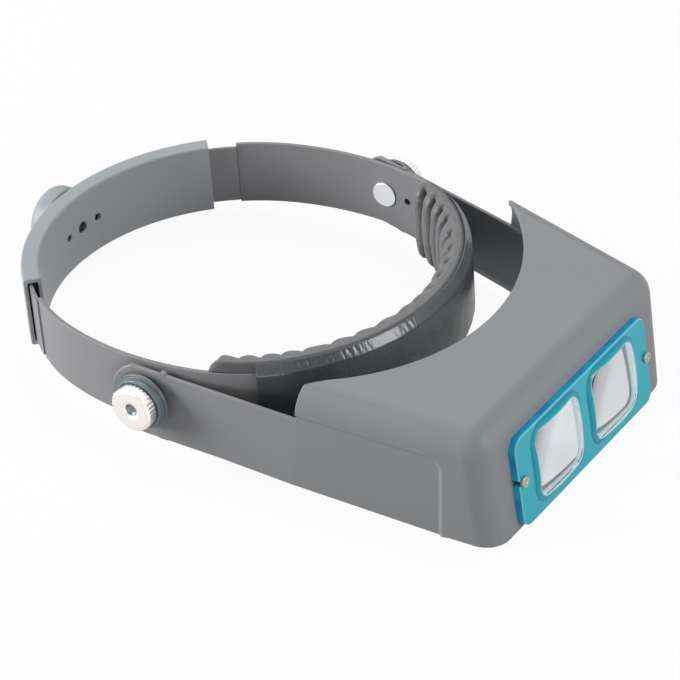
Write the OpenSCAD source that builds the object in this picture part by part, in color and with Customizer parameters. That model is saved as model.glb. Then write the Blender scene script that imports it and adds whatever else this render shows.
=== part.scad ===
// Headband magnifier: a hinged visor with a lens plate on an adjustable head strip.
// X runs across the head, the lenses face -Y and +Z is up, with the part resting on a table.
// Three frames are used: the strip frame has the pivot axis on X and the strip level, the
// visor frame is turned about that axis, and the plate frame lies on the back of the lens plate.

/* [Head strip] */
// Distance from the pivot axis forward to the middle of the strip at the forehead
strip_front = 74.2; // [72:0.2:77]
// Radius of the strip across the forehead
forehead_radius = 83.5; // [80:0.5:88]
// Turn of the forehead arc on each side of the middle, in degrees
forehead_turn = 46.5; // [45:0.5:48]
// Radius of the strip at the temples
temple_radius = 68; // [66:0.5:71]
// Turn of the temple arc, in degrees
temple_turn = 30.5; // [29:0.5:32]
// Radius of the strip along the side of the head
side_radius = 115; // [112:1:120]
// Turn of the side arc, in degrees
side_turn = 29.5; // [28:0.5:31]
// Height of the strip
strip_h = 27.5; // [24:0.5:30]
// Thickness of the strip
strip_t = 1.6; // [1.4:0.1:2]
// Angle from straight back at which the strip narrows to its tails
shoulder_angle = 56; // [53:1:60]
// Distance of the small locating hole ahead of the pivot
locating_hole_y = 11.6; // [10:0.2:14]
// Diameter of the small locating hole
locating_hole_d = 3; // [2:0.2:4]

/* [Size adjuster] */
// Height of the tails that run into the rear housing
tail_h = 25; // [22:0.5:25.5]
// Thickness of one tail
tail_t = 1.3; // [1:0.1:1.4]
// Gap between the two tails where they pass each other
tail_gap = 0.3; // [0.2:0.1:0.4]
// Angle by which each tail runs on past the middle of the housing
tail_reach = 38; // [30:1:42]
// Height of the rack slot in a tail
slot_h = 10.7; // [10:0.1:12]
// Teeth of the pinion
pinion_teeth = 8; // [8:1:10]
// Tooth module of the pinion and of both racks
tooth_module = 1; // [0.8:0.05:1.1]
// Play between the rack teeth and the pinion
rack_play = 0.15; // [0.1:0.05:0.3]
// Height of the rear housing
housing_h = 30; // [29:0.5:33]
// Half of the angle that the housing covers round the back of the head
housing_angle = 47.5; // [42:0.5:52]
// Wall of the housing behind and in front of the tails
housing_wall = 1.6; // [1.2:0.1:2]
// Depth of the hollow that the tails run in
housing_hollow = 4; // [3.6:0.1:4.6]
// Height left between a tail and the housing, above and below
tail_play = 0.7; // [0.4:0.1:1]
// Rounding of the housing's long edges
housing_edge = 1; // [0.6:0.1:1.3]
// Diameter of the adjusting knob
knob_d = 28.4; // [26:0.2:29]
// Depth of the adjusting knob
knob_depth = 9.4; // [8:0.2:12]
// Rounding of the knob's rim
knob_round = 4.5; // [3:0.5:5]
// Gap between the knob and the housing, taken up by the detent spring
knob_gap = 1.2; // [1:0.1:2]
// Diameter of the shaft that joins the knob to the pinion
shaft_d = 5; // [4:0.1:5.2]
// Diameter of the detent spring
spring_d = 18; // [15:0.5:20]
// Diameter of the service hole in the middle of the housing's inner wall
service_hole_d = 4.8; // [4:0.2:5.4]
// Diameter of the two small holes beside it
side_hole_d = 3; // [2:0.2:4]
// Distance of the small holes from the middle
side_hole_x = 9.3; // [8:0.1:12]

/* [Pad] */
// Angle round the front at which the cushion ends
cushion_angle = 71; // [68:1:74]
// Angle round the front at which the sleeve ends
sleeve_angle = 56; // [50:1:60]
// Depth of the cushion, from the strip in towards the head
cushion_depth = 9.4; // [7:0.2:12]
// Height of the cushion at its crests
cushion_h = 32; // [30:0.5:35]
// Number of pleats along the cushion
pleats = 18; // [14:1:20]
// Depth of the pleats
pleat_depth = 1.7; // [0.5:0.1:2.4]
// Thickness of the sleeve's cover
sleeve_t = 1.1; // [0.8:0.1:1.4]
// Reach of the sleeve over the top and bottom of the cushion
sleeve_reach = 4.6; // [3.6:0.2:5.4]

/* [Visor] */
// Angle by which the arms hang below the level of the strip
visor_drop = 7; // [4:0.5:10]
// Distance from the pivot axis out to the arm's outer face
arm_x = 84.7; // [84.4:0.1:86]
// Thickness of the arm
arm_t = 1.8; // [1.5:0.1:1.9]
// Height of the arm above the pivot
arm_top = 12.8; // [12:0.2:14]
// Depth of the arm below the pivot
arm_bottom = 17.3; // [16:0.1:18]
// Distance from the pivot to the arm's round rear end
arm_end_r = 14.4; // [14.2:0.1:15.4]
// Distance from the pivot axis forward to the rear edge of the hood
hood_rear = 61; // [59:0.5:64]
// Half of the hood's width at its rear edge
hood_half_w = 77.4; // [77:0.1:79]
// Angle by which each side of the hood draws in towards the front
hood_taper = 10; // [8:0.5:11]
// Height of the hood's top above the pivot
hood_top = 28.5; // [26:0.5:31]
// Radius of the hood's corners
hood_round = 11; // [8:0.5:13]
// Wall of the hood
hood_wall = 2.2; // [1.8:0.1:2.6]
// Distance from the pivot axis forward to the back of the lens plate
plate_y = 137.1; // [134:0.5:142]
// Height of the middle of the lens plate above the pivot
plate_z = 0.3; // [-1:0.1:1]
// Angle by which the lens plate leans back
plate_lean = 12.5; // [10:0.5:14]
// Radius of the cut that clears the forehead
brow_radius = 91.7; // [90:0.5:94]
// Distance from the pivot axis forward to the middle of the brow cut
brow_front = 95.6; // [94:0.2:98]
// Depth to which each side panel is recessed
panel_depth = 1.2; // [0.6:0.1:1.4]
// Distance from the hood's rear edge to the front end of the side panel
panel_len = 58; // [50:1:62]
// Height of the side panel's top above the pivot
panel_top = 15.7; // [13:0.1:16.5]
// Rounding of the side panel's upper corner
panel_round = 6; // [3:0.5:8]
// Width of the slope round the side panel
panel_slope = 1.2; // [0.8:0.1:2]
// Depth of the hood's lower edge below the pivot, at the front of the side panel
panel_low = 20; // [18:0.1:21]
// Depth of the hood's lower edge below the pivot, at the front
front_low = 19.2; // [18.8:0.1:20]

/* [Lens plate] */
// Width of the lens plate
plate_w = 95.2; // [90:0.2:98]
// Height of the lens plate
plate_h = 37.8; // [36:0.2:38.4]
// Thickness of the lens plate
plate_t = 3; // [2.4:0.1:3.4]
// Radius of the plate's corners
plate_round = 5; // [3:0.5:7]
// Bevel round the plate's front edge
plate_bevel = 0.5; // [0.3:0.1:0.8]
// Width of each lens window
window_w = 30.4; // [28:0.2:31]
// Height of each lens window
window_h = 28.4; // [25:0.2:29]
// Radius of the window's corners
window_round = 5; // [3:0.5:7]
// Distance from the middle of the plate to the middle of each window
window_x = 20.3; // [19.6:0.1:21]
// Height of the windows and the screws above the middle of the plate
window_z = 1.2; // [0:0.1:1.4]
// Height of the raised rim round each window
rim_h = 1.8; // [1:0.1:2.4]
// Width of that rim at its crest
rim_w = 0.5; // [0.4:0.1:0.8]
// Width of the rim's outer slope
rim_slope = 2.1; // [1.2:0.1:2.4]
// Radius of curvature of both faces of each lens
lens_radius = 140; // [120:5:200]
// Thickness of each lens at its edge
lens_edge = 1.4; // [1.2:0.1:1.8]
// Distance from each end of the plate in to its screw
screw_inset = 2.4; // [2:0.1:3]
// Diameter of the screw's shank
screw_d = 1.9; // [1.6:0.1:2.2]
// Diameter of the screw's head
screw_head_d = 4.4; // [4:0.1:4.6]
// Height of the screw's head
screw_head_h = 1.4; // [1:0.1:1.8]
// Length of the screw's shank behind the plate
screw_len = 5; // [4:0.2:6]

/* [Pivots] */
// Diameter of the pivot bolt
bolt_d = 5; // [4:0.1:5.4]
// Diameter of the bolt's flat head inside the strip
bolt_head_d = 10.8; // [10:0.2:13]
// Thickness of the bolt's flat head
bolt_head_t = 1; // [0.8:0.1:1.4]
// Diameter of the friction washer
washer_d = 23; // [21:0.5:24]
// Thickness of the friction washer's flange
washer_flange = 1.3; // [1:0.1:1.6]
// Thickness of the whole friction washer
washer_t = 3.6; // [3:0.1:4]
// Diameter of the thumb nut
nut_d = 18; // [16:0.5:19]
// Thickness of the thumb nut
nut_t = 4.7; // [4:0.1:6]
// Ribs round the thumb nut
nut_ribs = 30; // [20:2:36]
// Diameter of the bosses that carry the washers
boss_d = 16; // [14:0.5:17]

/* [Fits] */
// Radial clearance of the pivot bolts, the knob shaft and the screws
shaft_clearance = 0.08; // [0.05:0.01:0.1]
// Gap between faces that slide or turn on each other
face_gap = 0.08; // [0.05:0.01:0.12]
// Gap between the strip and what lies against it
wrap_gap = 0.1; // [0.08:0.01:0.15]
// Gap round a lens in its window
lens_gap = 0.08; // [0.05:0.01:0.12]

/* [Hidden] */
$fn = 72;

PLASTIC = "#8a8b8d";
SLATE = "#566064";
VINYL = "#3d4347";
PAD = "#8a898b";
NICKEL = "#d9d9dc";
ACRYLIC = "#26a6c4";
GLASS = "#dfe7ea";
STEEL = "#b5b8bb";

// A direction in the strip's plan, at a turn from straight ahead
function heading(turn) = [sin(turn), -cos(turn)];

// The strip's arcs, each as [centre, radius, first turn, last turn]
turn_1 = forehead_turn;
turn_2 = turn_1 + temple_turn;
turn_3 = turn_2 + side_turn;
centre_1 = [0, forehead_radius - strip_front];
centre_2 = centre_1 + (forehead_radius - temple_radius) * heading(turn_1);
centre_3 = centre_2 + (temple_radius - side_radius) * heading(turn_2);
rear_radius = side_radius + centre_3[0] / sin(turn_3);
centre_4 = centre_3 + (side_radius - rear_radius) * heading(turn_3);
rear_y = centre_4[1];
shoulder_turn = 180 - shoulder_angle;
arc_lap = 0.04;
arcs = [
    [centre_1, forehead_radius, 0, turn_1],
    [centre_2, temple_radius, turn_1, turn_2],
    [centre_3, side_radius, turn_2, turn_3],
    [centre_4, rear_radius, turn_3, shoulder_turn]
];

// Outer and inner face of the strip beside the pivot
strip_mid_x = centre_3[0] + sqrt(pow(side_radius, 2) - pow(centre_3[1], 2));
strip_outer_x = strip_mid_x + strip_t / 2;
strip_inner_x = strip_mid_x - strip_t / 2;

// Length by which an arm runs on inside the hood, and the depth to which it dives into the wall
arm_root = 16;
arm_dive = 0.5;

// The pivot's stack, from the strip outwards. The straight arm runs outwards to its rear end,
// so the outer boss stands as far out as the arm does behind the washer.
arm_slope = (arm_x - (hood_half_w - panel_depth)) / hood_rear;
spacer_t = 0.6;
spacer_x = strip_outer_x + wrap_gap;
boss_in_x = spacer_x + spacer_t + face_gap;
boss_out_x = arm_x + abs(arm_slope) * (washer_d / 2 + 1);
washer_x = boss_out_x + face_gap;
nut_x = washer_x + washer_t + face_gap;
nut_out_x = nut_x + nut_t;
bolt_end_x = nut_out_x - 0.9;

// The rear housing, round the tails
hollow_r = rear_radius - housing_hollow / 2 + 0.1;
housing_in_r = hollow_r - housing_wall;
hollow_out_r = hollow_r + housing_hollow;
housing_out_r = hollow_out_r + housing_wall;
hollow_h = tail_h + 2 * tail_play;
inner_tail_r = rear_radius - (tail_t + tail_gap) / 2;
outer_tail_r = rear_radius + (tail_t + tail_gap) / 2;
housing_back_y = rear_y + housing_out_r;
housing_front_y = rear_y + housing_in_r;
knob_y = housing_back_y + knob_gap;
pitch_r = pinion_teeth * tooth_module / 2;
tooth_pitch = PI * tooth_module;
pinion_w = 2 * tail_t + tail_gap;

// Distance from the middle of the plate to each screw
screw_x = plate_w / 2 - screw_inset;

// Width that a window's rim adds to it at the rim's foot
rim_spread = 2 * (rim_w + rim_slope);

// The position of rest: the hood's lower front edge and the housing's lower rear edge on z = 0
function turned(p, a) = [p[0] * cos(a) - p[1] * sin(a), p[0] * sin(a) + p[1] * cos(a)];
front_edge = turned([-plate_y - (front_low + plate_z) * tan(plate_lean), -front_low], visor_drop);
rest_tilt = atan((-housing_h / 2 - front_edge[1]) / (housing_back_y - front_edge[0]));
rest_z = -turned(front_edge, -rest_tilt)[1];

// The part's foremost and rearmost points, which set the origin midway between them
function plate_y_at(forward, height) =
    let (p = [-plate_y, plate_z] + turned([-forward, height], -plate_lean))
    turned(p, visor_drop - rest_tilt)[0];
foremost = min(
    plate_y_at(plate_t - plate_bevel, -plate_h / 2),
    plate_y_at(plate_t, plate_bevel - plate_h / 2),
    plate_y_at(plate_t + rim_h, window_z - window_h / 2 - rim_w)
);
rearmost = turned([knob_y + knob_depth, knob_d / 2 - knob_round], -rest_tilt)[0];
rest_y = -(foremost + rearmost) / 2;

// Places the strip frame as the part rests
module strip_frame() {
    translate([0, rest_y, rest_z]) rotate([-rest_tilt, 0, 0]) children();
}

// Places the visor frame, turned down about the pivot axis
module visor_frame() {
    strip_frame() rotate([visor_drop, 0, 0]) children();
}

// Places the plate frame on the back of the lens plate
module plate_frame() {
    translate([0, -plate_y, plate_z]) rotate([-plate_lean, 0, 0]) children();
}

// A rod along the pivot axis between two distances from the middle plane
module pivot_rod(d, x0, x1) {
    rotate([0, 90, 0]) translate([0, 0, x0]) cylinder(d = d, h = x1 - x0);
}

// A part of a ring about a vertical axis, from a profile given in [radius, height]
module arc_sweep(centre, first_turn, last_turn) {
    translate([centre[0], centre[1], 0]) rotate([0, 0, first_turn - 90])
        rotate_extrude(angle = last_turn - first_turn, $fn = 144) children();
}

// Points along the strip's middle line, moved inward, from one turn to another
function strip_line(inward) = [
    for (arc = arcs) let (steps = ceil((arc[3] - arc[2]) / 1.5))
        for (i = [arc[2] == 0 ? 0 : 1:steps])
            arc[0] + (arc[1] - inward) * heading(arc[2] + (arc[3] - arc[2]) * i / steps)
];

// The strip's plan: its outer line to the shoulder on both sides, and back along its inner line
function strip_plan() = let (
    outer = strip_line(-strip_t / 2),
    inner = strip_line(strip_t / 2),
    last = len(outer) - 1
) concat(
    [for (i = [last:-1:1]) [-outer[i][0], outer[i][1]]],
    outer,
    [for (i = [last:-1:0]) inner[i]],
    [for (i = [1:last]) [-inner[i][0], inner[i][1]]]
);

// The grey strip round the head, with its pivot holes, locating holes and flat seats
module head_strip() {
    seat_rim = 0.2;
    color(PLASTIC) strip_frame() difference() {
        translate([0, 0, -strip_h / 2]) linear_extrude(strip_h) polygon(strip_plan());
        for (side = [-1, 1]) scale([side, 1, 1]) {
            pivot_rod(bolt_d + 2 * shaft_clearance, strip_inner_x - 3, strip_outer_x + 3);
            pivot_rod(boss_d + 2 * seat_rim, strip_outer_x + wrap_gap / 2, strip_outer_x + 3);
            pivot_rod(bolt_head_d + 2 * seat_rim, strip_inner_x - 3, strip_inner_x - wrap_gap / 2);
            translate([0, -locating_hole_y, 0])
                pivot_rod(locating_hole_d, strip_inner_x - 4, strip_outer_x + 3);
        }
    }
}

// One rack tooth across a tail, pointing up, with its pitch line at z = 0
module rack_tooth(depth) {
    tip = tooth_pitch / 4 - tooth_module * tan(20) - rack_play / 2;
    root = tooth_pitch / 4 + 1.25 * tooth_module * tan(20);
    translate([0, depth / 2, 0]) rotate([90, 0, 0]) linear_extrude(depth)
        polygon([
            [-root, -1.3 * tooth_module], [root, -1.3 * tooth_module],
            [tip, tooth_module - rack_play], [-tip, tooth_module - rack_play]
        ]);
}

// One tail with its rack slot. The teeth stand up from the slot's lower edge.
module strip_tail(radius) {
    tooth_turn = tooth_pitch / radius * 180 / PI;
    slot_end = tail_reach - 5;
    slot_start = -shoulder_angle + 12;
    root_z = -pitch_r - 1.25 * tooth_module;
    first_tooth = ceil((slot_start + 2) / tooth_turn);
    last_tooth = floor((slot_end - 2) / tooth_turn);
    difference() {
        arc_sweep(centre_4, shoulder_turn, 180 + tail_reach)
            translate([radius - tail_t / 2, -tail_h / 2]) square([tail_t, tail_h]);
        arc_sweep(centre_4, 180 + slot_start, 180 + slot_end)
            translate([radius - tail_t, root_z]) square([2 * tail_t, slot_h]);
    }
    for (tooth = [first_tooth:last_tooth])
        translate([0, rear_y, 0]) rotate([0, 0, (tooth + 0.5) * tooth_turn])
            translate([0, radius, -pitch_r]) rack_tooth(tail_t - 0.06);
}

// The right side's tail, which passes inside the left one with its rack turned over
module strip_tail_right() {
    color(PLASTIC) strip_frame() mirror([0, 0, 1]) strip_tail(inner_tail_r);
}

// The left side's tail
module strip_tail_left() {
    color(PLASTIC) strip_frame() mirror([1, 0, 0]) strip_tail(outer_tail_r);
}

// Position on the strip's middle line at a turn from straight ahead, and its arc's centre
function arc_at(turn) = abs(turn) <= turn_1 ? arcs[0] : arcs[1];
function flip(point, turn) = turn < 0 ? [-point[0], point[1]] : point;
function strip_point(turn, inward) = let (arc = arc_at(turn))
    flip(arc[0] + (arc[1] - inward) * heading(abs(turn)), turn);

// Height of a pleat, from 0 in a fold to 1 on a crest, and the rounding of the cushion's ends
function pleat(turn) = sqrt(abs(sin(180 * pleats * (turn / cushion_angle + 1) / 2)));
function swell(turn) = sqrt(1 - pow(max(0, abs(turn) - cushion_angle + 7) / 7.3, 2));

// The cushion's section, as [inward, height], from the strip round the head side
function cushion_section(turn) = let (
    fold = pleat(turn),
    full = swell(turn),
    back = strip_t / 2 + wrap_gap,
    depth = back + (cushion_depth - (1 - fold) * pleat_depth * 0.7) * full,
    crest = (cushion_h / 2 - (1 - fold) * pleat_depth) * (0.55 + 0.45 * full),
    ledge = min(strip_h / 2 - 0.2, crest - 0.6),
    lip = back + (sleeve_reach - back + 0.3) * full
) [
    [back, -ledge], [back, ledge], [lip, ledge], [lip + 0.25, crest - 0.7],
    [back + (depth - back) * 0.66, crest], [back + (depth - back) * 0.9, crest - 3.2],
    [depth - 0.2, crest * 0.45], [depth, 0], [depth - 0.2, -crest * 0.45],
    [back + (depth - back) * 0.9, 3.2 - crest], [back + (depth - back) * 0.66, -crest],
    [lip + 0.25, 0.7 - crest], [lip, -ledge]
];

// The pleated cushion, one skin over sections set along the strip
module forehead_cushion() {
    stations = pleats * 5;
    turns = [for (i = [0:stations]) -cushion_angle + 2 * cushion_angle * i / stations];
    sections = [for (turn = turns) cushion_section(turn)];
    sides = len(sections[0]);
    points = [for (i = [0:stations]) for (p = sections[i])
        let (place = strip_point(turns[i], p[0])) [place[0], place[1], p[1]]];
    skin = [for (i = [0:stations - 1]) for (j = [0:sides - 1])
        let (a = i * sides + j, b = i * sides + (j + 1) % sides)
        each [[a, b, a + sides], [b, b + sides, a + sides]]];
    first_cap = [for (j = [1:sides - 2]) [0, j + 1, j]];
    last = stations * sides;
    last_cap = [for (j = [1:sides - 2]) [last, last + j, last + j + 1]];
    color(PAD) strip_frame() polyhedron(points, concat(skin, first_cap, last_cap), convexity = 8);
}

// The sleeve's section in [inward, height]: outside the strip, and over its top and bottom
function sleeve_section() = let (
    in_out = -strip_t / 2 - wrap_gap,
    out = in_out - sleeve_t,
    inner_h = strip_h / 2 + wrap_gap,
    outer_h = inner_h + sleeve_t,
    bend = 2 * sleeve_t,
    soft = [for (a = [0:15:90]) [out + bend * (1 - sin(a)), outer_h - bend * (1 - cos(a))]]
) concat(
    soft,
    [for (i = [len(soft) - 1:-1:0]) [soft[i][0], -soft[i][1]]],
    [[sleeve_reach, -outer_h], [sleeve_reach, -inner_h], [in_out, -inner_h],
        [in_out, inner_h], [sleeve_reach, inner_h], [sleeve_reach, outer_h]]
);

// The dark sleeve that wraps the strip and the cushion's edges
module cushion_sleeve() {
    section = sleeve_section();
    module wrap(arc, last) {
        arc_sweep(arc[0], max(0, arc[2] - arc_lap), last)
            polygon([for (p = section) [arc[1] - p[0], p[1]]]);
    }
    module half_wrap() {
        wrap(arcs[0], turn_1);
        wrap(arcs[1], sleeve_angle);
    }
    color(VINYL) strip_frame() {
        half_wrap();
        mirror([1, 0, 0]) half_wrap();
    }
}

// One pivot bolt: a flat disc inside the strip, and a shank out through the arm
module pivot_bolt(side) {
    color(NICKEL) strip_frame() scale([side, 1, 1]) {
        head_x = strip_inner_x - 1.5 * wrap_gap;
        pivot_rod(bolt_head_d, head_x - bolt_head_t, head_x);
        pivot_rod(bolt_d, head_x - 0.2, bolt_end_x);
    }
}

// One thin spacer between the strip and the arm's boss
module strip_spacer(side) {
    color(SLATE) strip_frame() scale([side, 1, 1]) difference() {
        pivot_rod(boss_d, spacer_x, spacer_x + spacer_t);
        pivot_rod(bolt_d + 2 * shaft_clearance, spacer_x - 1, spacer_x + spacer_t + 1);
    }
}

// One dark friction washer, a flange with a smaller raised disc
module friction_washer(side) {
    color(SLATE) strip_frame() scale([side, 1, 1]) difference() {
        union() {
            pivot_rod(washer_d, washer_x, washer_x + washer_flange);
            pivot_rod(washer_d - 2.4, washer_x + washer_flange - 0.2, washer_x + washer_t);
        }
        pivot_rod(bolt_d + 2 * shaft_clearance, washer_x - 1, washer_x + washer_t + 1);
        pivot_rod(nut_d + 0.6, washer_x + washer_t - 0.4, washer_x + washer_t + 1);
    }
}

// One ribbed thumb nut with a dished face round the bolt's end
module thumb_nut(side) {
    seat = nut_x - 0.4;
    color(NICKEL) strip_frame() scale([side, 1, 1]) difference() {
        union() {
            pivot_rod(nut_d - 1, seat, nut_out_x);
            for (rib = [0:nut_ribs - 1])
                rotate([rib * 360 / nut_ribs, 0, 0]) translate([0, 0, nut_d / 2 - 0.5])
                    pivot_rod(1.3, seat + 0.4, nut_out_x - 0.4, $fn = 12);
        }
        pivot_rod(bolt_d + 2 * shaft_clearance, seat - 1, nut_out_x + 1);
        rotate([0, 90, 0]) translate([0, 0, nut_out_x - 0.6])
            cylinder(d1 = bolt_d + 0.4, d2 = bolt_d + 2, h = 0.7);
    }
}

// Distance by which a cutting outline stands clear of the hood
beyond = 20;

// Lower outline of the visor seen from the side, from rear to front
lower_edge = [
    [0, -arm_bottom], [-hood_rear / 2, -arm_bottom],
    [-hood_rear - panel_len, -panel_low], [-hood_rear - panel_len - 4, -front_low],
    [-plate_y - beyond, -front_low]
];

// A slab across the whole visor from an outline given in [y, z]
module across(width) {
    rotate([90, 0, 90]) translate([0, 0, -width / 2]) linear_extrude(width) children();
}

// Centre of a corner ball that touches the hood's front, side and top
function ball(height, round) = let (
    y = -plate_y + (height - plate_z) * tan(plate_lean) + hood_round / cos(plate_lean)
) [side_x(y) - hood_round / cos(hood_taper), y, height];
function side_x(y) = hood_half_w - (-hood_rear - y) * tan(hood_taper);

// The hood as a closed block with round corners, drawn in by a wall
module hood_block(inset) {
    top = hood_top - hood_round;
    low = -arm_bottom - hood_round;
    rear = -hood_rear + 22;
    rear_x = side_x(rear) - hood_round / cos(hood_taper);
    hull() for (side = [-1, 1]) scale([side, 1, 1]) {
        for (height = [top, low]) {
            translate(ball(height)) sphere(hood_round - inset, $fn = 32);
            translate([rear_x, rear, height]) sphere(hood_round - inset, $fn = 32);
        }
    }
}

// Outline of a side panel in [y, z] from the hood's rear edge
module panel_outline(shrink) {
    front = -panel_len + shrink;
    top = panel_top - shrink;
    round = panel_round - shrink;
    polygon(concat(
        [[30, -40], [30, top]],
        [for (a = [0:10:90]) [front + round - round * sin(a), top - round + round * cos(a)]],
        [[front - 3, -40]]
    ));
}

// The recess of one side panel, with sloping edges
module panel_cut() {
    translate([hood_half_w, -hood_rear, 0]) rotate([0, 0, -hood_taper])
        hull() {
            translate([-panel_depth, 0, 0]) rotate([90, 0, 90])
                linear_extrude(0.01) panel_outline(panel_slope);
            rotate([90, 0, 90]) linear_extrude(1) panel_outline(0);
        }
}

// Rear end of an arm in [y, z], round about the pivot from its upper corner to its lower edge
corner_turn = asin(min(1, arm_top / arm_end_r));
arm_end = concat(
    [for (i = [12:-1:1]) arm_end_r * [cos(corner_turn * i / 12), sin(corner_turn * i / 12)]],
    [for (a = [0:5:90]) [arm_end_r * cos(a), -arm_bottom * sin(a)]]
);

// One straight arm, with a round rear end and a small stop on its inner top edge
module arm() {
    rear = arm_end_r + 2;
    inner_end = -hood_rear - arm_root;
    stop = 2.4;
    outer = [
        [arm_x + arm_slope * rear, rear],
        [hood_half_w - panel_depth, -hood_rear],
        [side_x(inner_end) - panel_depth - arm_dive, inner_end]
    ];
    plan = concat(outer, [for (i = [2:-1:0]) [outer[i][0] - arm_t, outer[i][1]]]);
    difference() {
        intersection() {
            translate([0, 0, -2 * panel_low]) linear_extrude(4 * panel_low) polygon(plan);
            across(4 * arm_x) polygon(concat(arm_end, [[-1, -panel_low], [inner_end, -panel_low],
                [inner_end, arm_top]]));
        }
        pivot_rod(boss_d + 2 * face_gap, 0, boss_in_x);
    }
    pivot_rod(boss_d, boss_in_x, boss_out_x);
    translate([arm_x - arm_t - stop / 2, -3 * stop, arm_top - stop / 2]) cube(stop * 0.8);
}

// The hood: a rounded shell cut at the rear and at the brow, with a window behind the lenses
module hood() {
    difference() {
        hood_block(0);
        hood_block(hood_wall);
        translate([0, brow_radius - brow_front, 0])
            cylinder(r = brow_radius, h = 3 * hood_top, $fn = 144);
        translate([-2 * hood_half_w, -hood_rear, -60]) cube([4 * hood_half_w, 200, 120]);
        for (side = [-1, 1]) scale([side, 1, 1]) panel_cut();
        plate_frame() lens_opening();
    }
}

// The visor: the hood, the two arms and the sockets of the lens plate's screws, in one moulding
module visor_shell() {
    color(PLASTIC) visor_frame() difference() {
        union() {
            hood();
            arm();
            mirror([1, 0, 0]) arm();
            plate_frame() at_screws() translate([0, hood_wall - 0.4, 0]) rotate([-90, 0, 0])
                cylinder(d = screw_d + 3.6, h = screw_len - hood_wall + 0.8);
        }
        across(6 * hood_half_w)
            polygon(concat(lower_edge, [[-plate_y - beyond, -4 * panel_low], [0, -4 * panel_low]]));
        for (side = [-1, 1]) scale([side, 1, 1])
            pivot_rod(bolt_d + 2 * shaft_clearance, boss_in_x - 1, boss_out_x + 1);
        plate_frame() at_screws() translate([0, -1, 0]) rotate([-90, 0, 0])
            cylinder(d = screw_d + 2 * shaft_clearance, h = screw_len + 2);
    }
}

// A rounded rectangle about the origin
module round_rect(w, h, r) {
    square([w - 2 * r, h], center = true);
    square([w, h - 2 * r], center = true);
    for (x = [-1, 1]) for (y = [-1, 1])
        translate([x * (w / 2 - r), y * (h / 2 - r)]) circle(r, $fn = 40);
}

// A slab on the plate, between two distances behind the plate's back face
module plate_slab(y0, y1) {
    translate([0, y1, 0]) rotate([90, 0, 0]) linear_extrude(y1 - y0) children();
}

// A place for each window on the plate
module at_windows() {
    for (side = [-1, 1]) translate([side * window_x, 0, window_z]) children();
}

// A place for each screw of the plate
module at_screws() {
    for (side = [-1, 1]) translate([side * screw_x, 0, window_z]) children();
}

// The opening in the hood's front wall behind the lenses
module lens_opening() {
    reach = 2 * window_x + window_w + 2 * rim_w;
    translate([0, 0, window_z])
        plate_slab(-5, 20) round_rect(reach, window_h + 2 * rim_w, window_round);
}

// The plate with a bevel round its front edge, and a sloping rim round each window
module plate_body() {
    front = -plate_t - rim_h;
    plate_slab(plate_bevel - plate_t, 0) round_rect(plate_w, plate_h, plate_round);
    hull() {
        plate_slab(plate_bevel - plate_t, plate_bevel - plate_t + 0.2)
            round_rect(plate_w, plate_h, plate_round);
        plate_slab(-plate_t, -plate_t + 0.2)
            round_rect(plate_w - 2 * plate_bevel, plate_h - 2 * plate_bevel,
                plate_round - plate_bevel);
    }
    at_windows() hull() {
        plate_slab(front, front + 0.2)
            round_rect(window_w + 2 * rim_w, window_h + 2 * rim_w, window_round + rim_w);
        plate_slab(-plate_t, 0.1 - plate_t)
            round_rect(window_w + rim_spread, window_h + rim_spread, window_round + rim_spread / 2);
    }
}

// The blue lens frame, with an open slot at each end for its screw
module lens_frame() {
    slot_w = screw_d + 2 * shaft_clearance;
    color(ACRYLIC) visor_frame() plate_frame() difference() {
        plate_body();
        at_windows()
            plate_slab(-plate_t - 2 * rim_h, 1) round_rect(window_w, window_h, window_round);
        at_screws() rotate([90, 0, 0]) cylinder(d = slot_w, h = 20, center = true);
        for (side = [-1, 1]) translate([side * (screw_x + 5), 0, window_z])
            cube([10, 20, slot_w], center = true);
    }
}

// One lens, convex on both faces, held at its edge in its window
module lens(side) {
    mid = -(plate_t + rim_h) / 2;
    bulge = lens_radius - sqrt(pow(lens_radius, 2) - pow(norm([window_w, window_h]) / 2, 2));
    offset_y = lens_radius - bulge - lens_edge / 2;
    color(GLASS) visor_frame() plate_frame() translate([side * window_x, mid, window_z])
        intersection() {
            plate_slab(-12, 12)
                round_rect(window_w - 2 * lens_gap, window_h - 2 * lens_gap,
                    window_round - lens_gap);
            translate([0, offset_y, 0]) sphere(lens_radius, $fn = 256);
            translate([0, -offset_y, 0]) sphere(lens_radius, $fn = 256);
        }
}

// One screw that holds the lens frame on the hood
module plate_screw(side) {
    color(NICKEL) visor_frame() plate_frame()
        translate([side * screw_x, -plate_t, window_z]) difference() {
            union() {
                rotate([90, 0, 0]) cylinder(d = screw_head_d, h = screw_head_h);
                translate([0, plate_t + screw_len, 0]) rotate([90, 0, 0])
                    cylinder(d = screw_d, h = plate_t + screw_len);
            }
            translate([0, -screw_head_h, 0]) rotate([90, 0, 0])
                cylinder(d = 1.6, h = 1.2, center = true, $fn = 24);
        }
}

// Section of the housing in [radius, height]: a hollow box with rounded edges
module housing_section() {
    depth = housing_out_r - housing_in_r;
    difference() {
        translate([housing_in_r + depth / 2, 0]) round_rect(depth, housing_h, housing_edge);
        translate([hollow_r, -hollow_h / 2]) square([housing_hollow, hollow_h]);
    }
}

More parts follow.
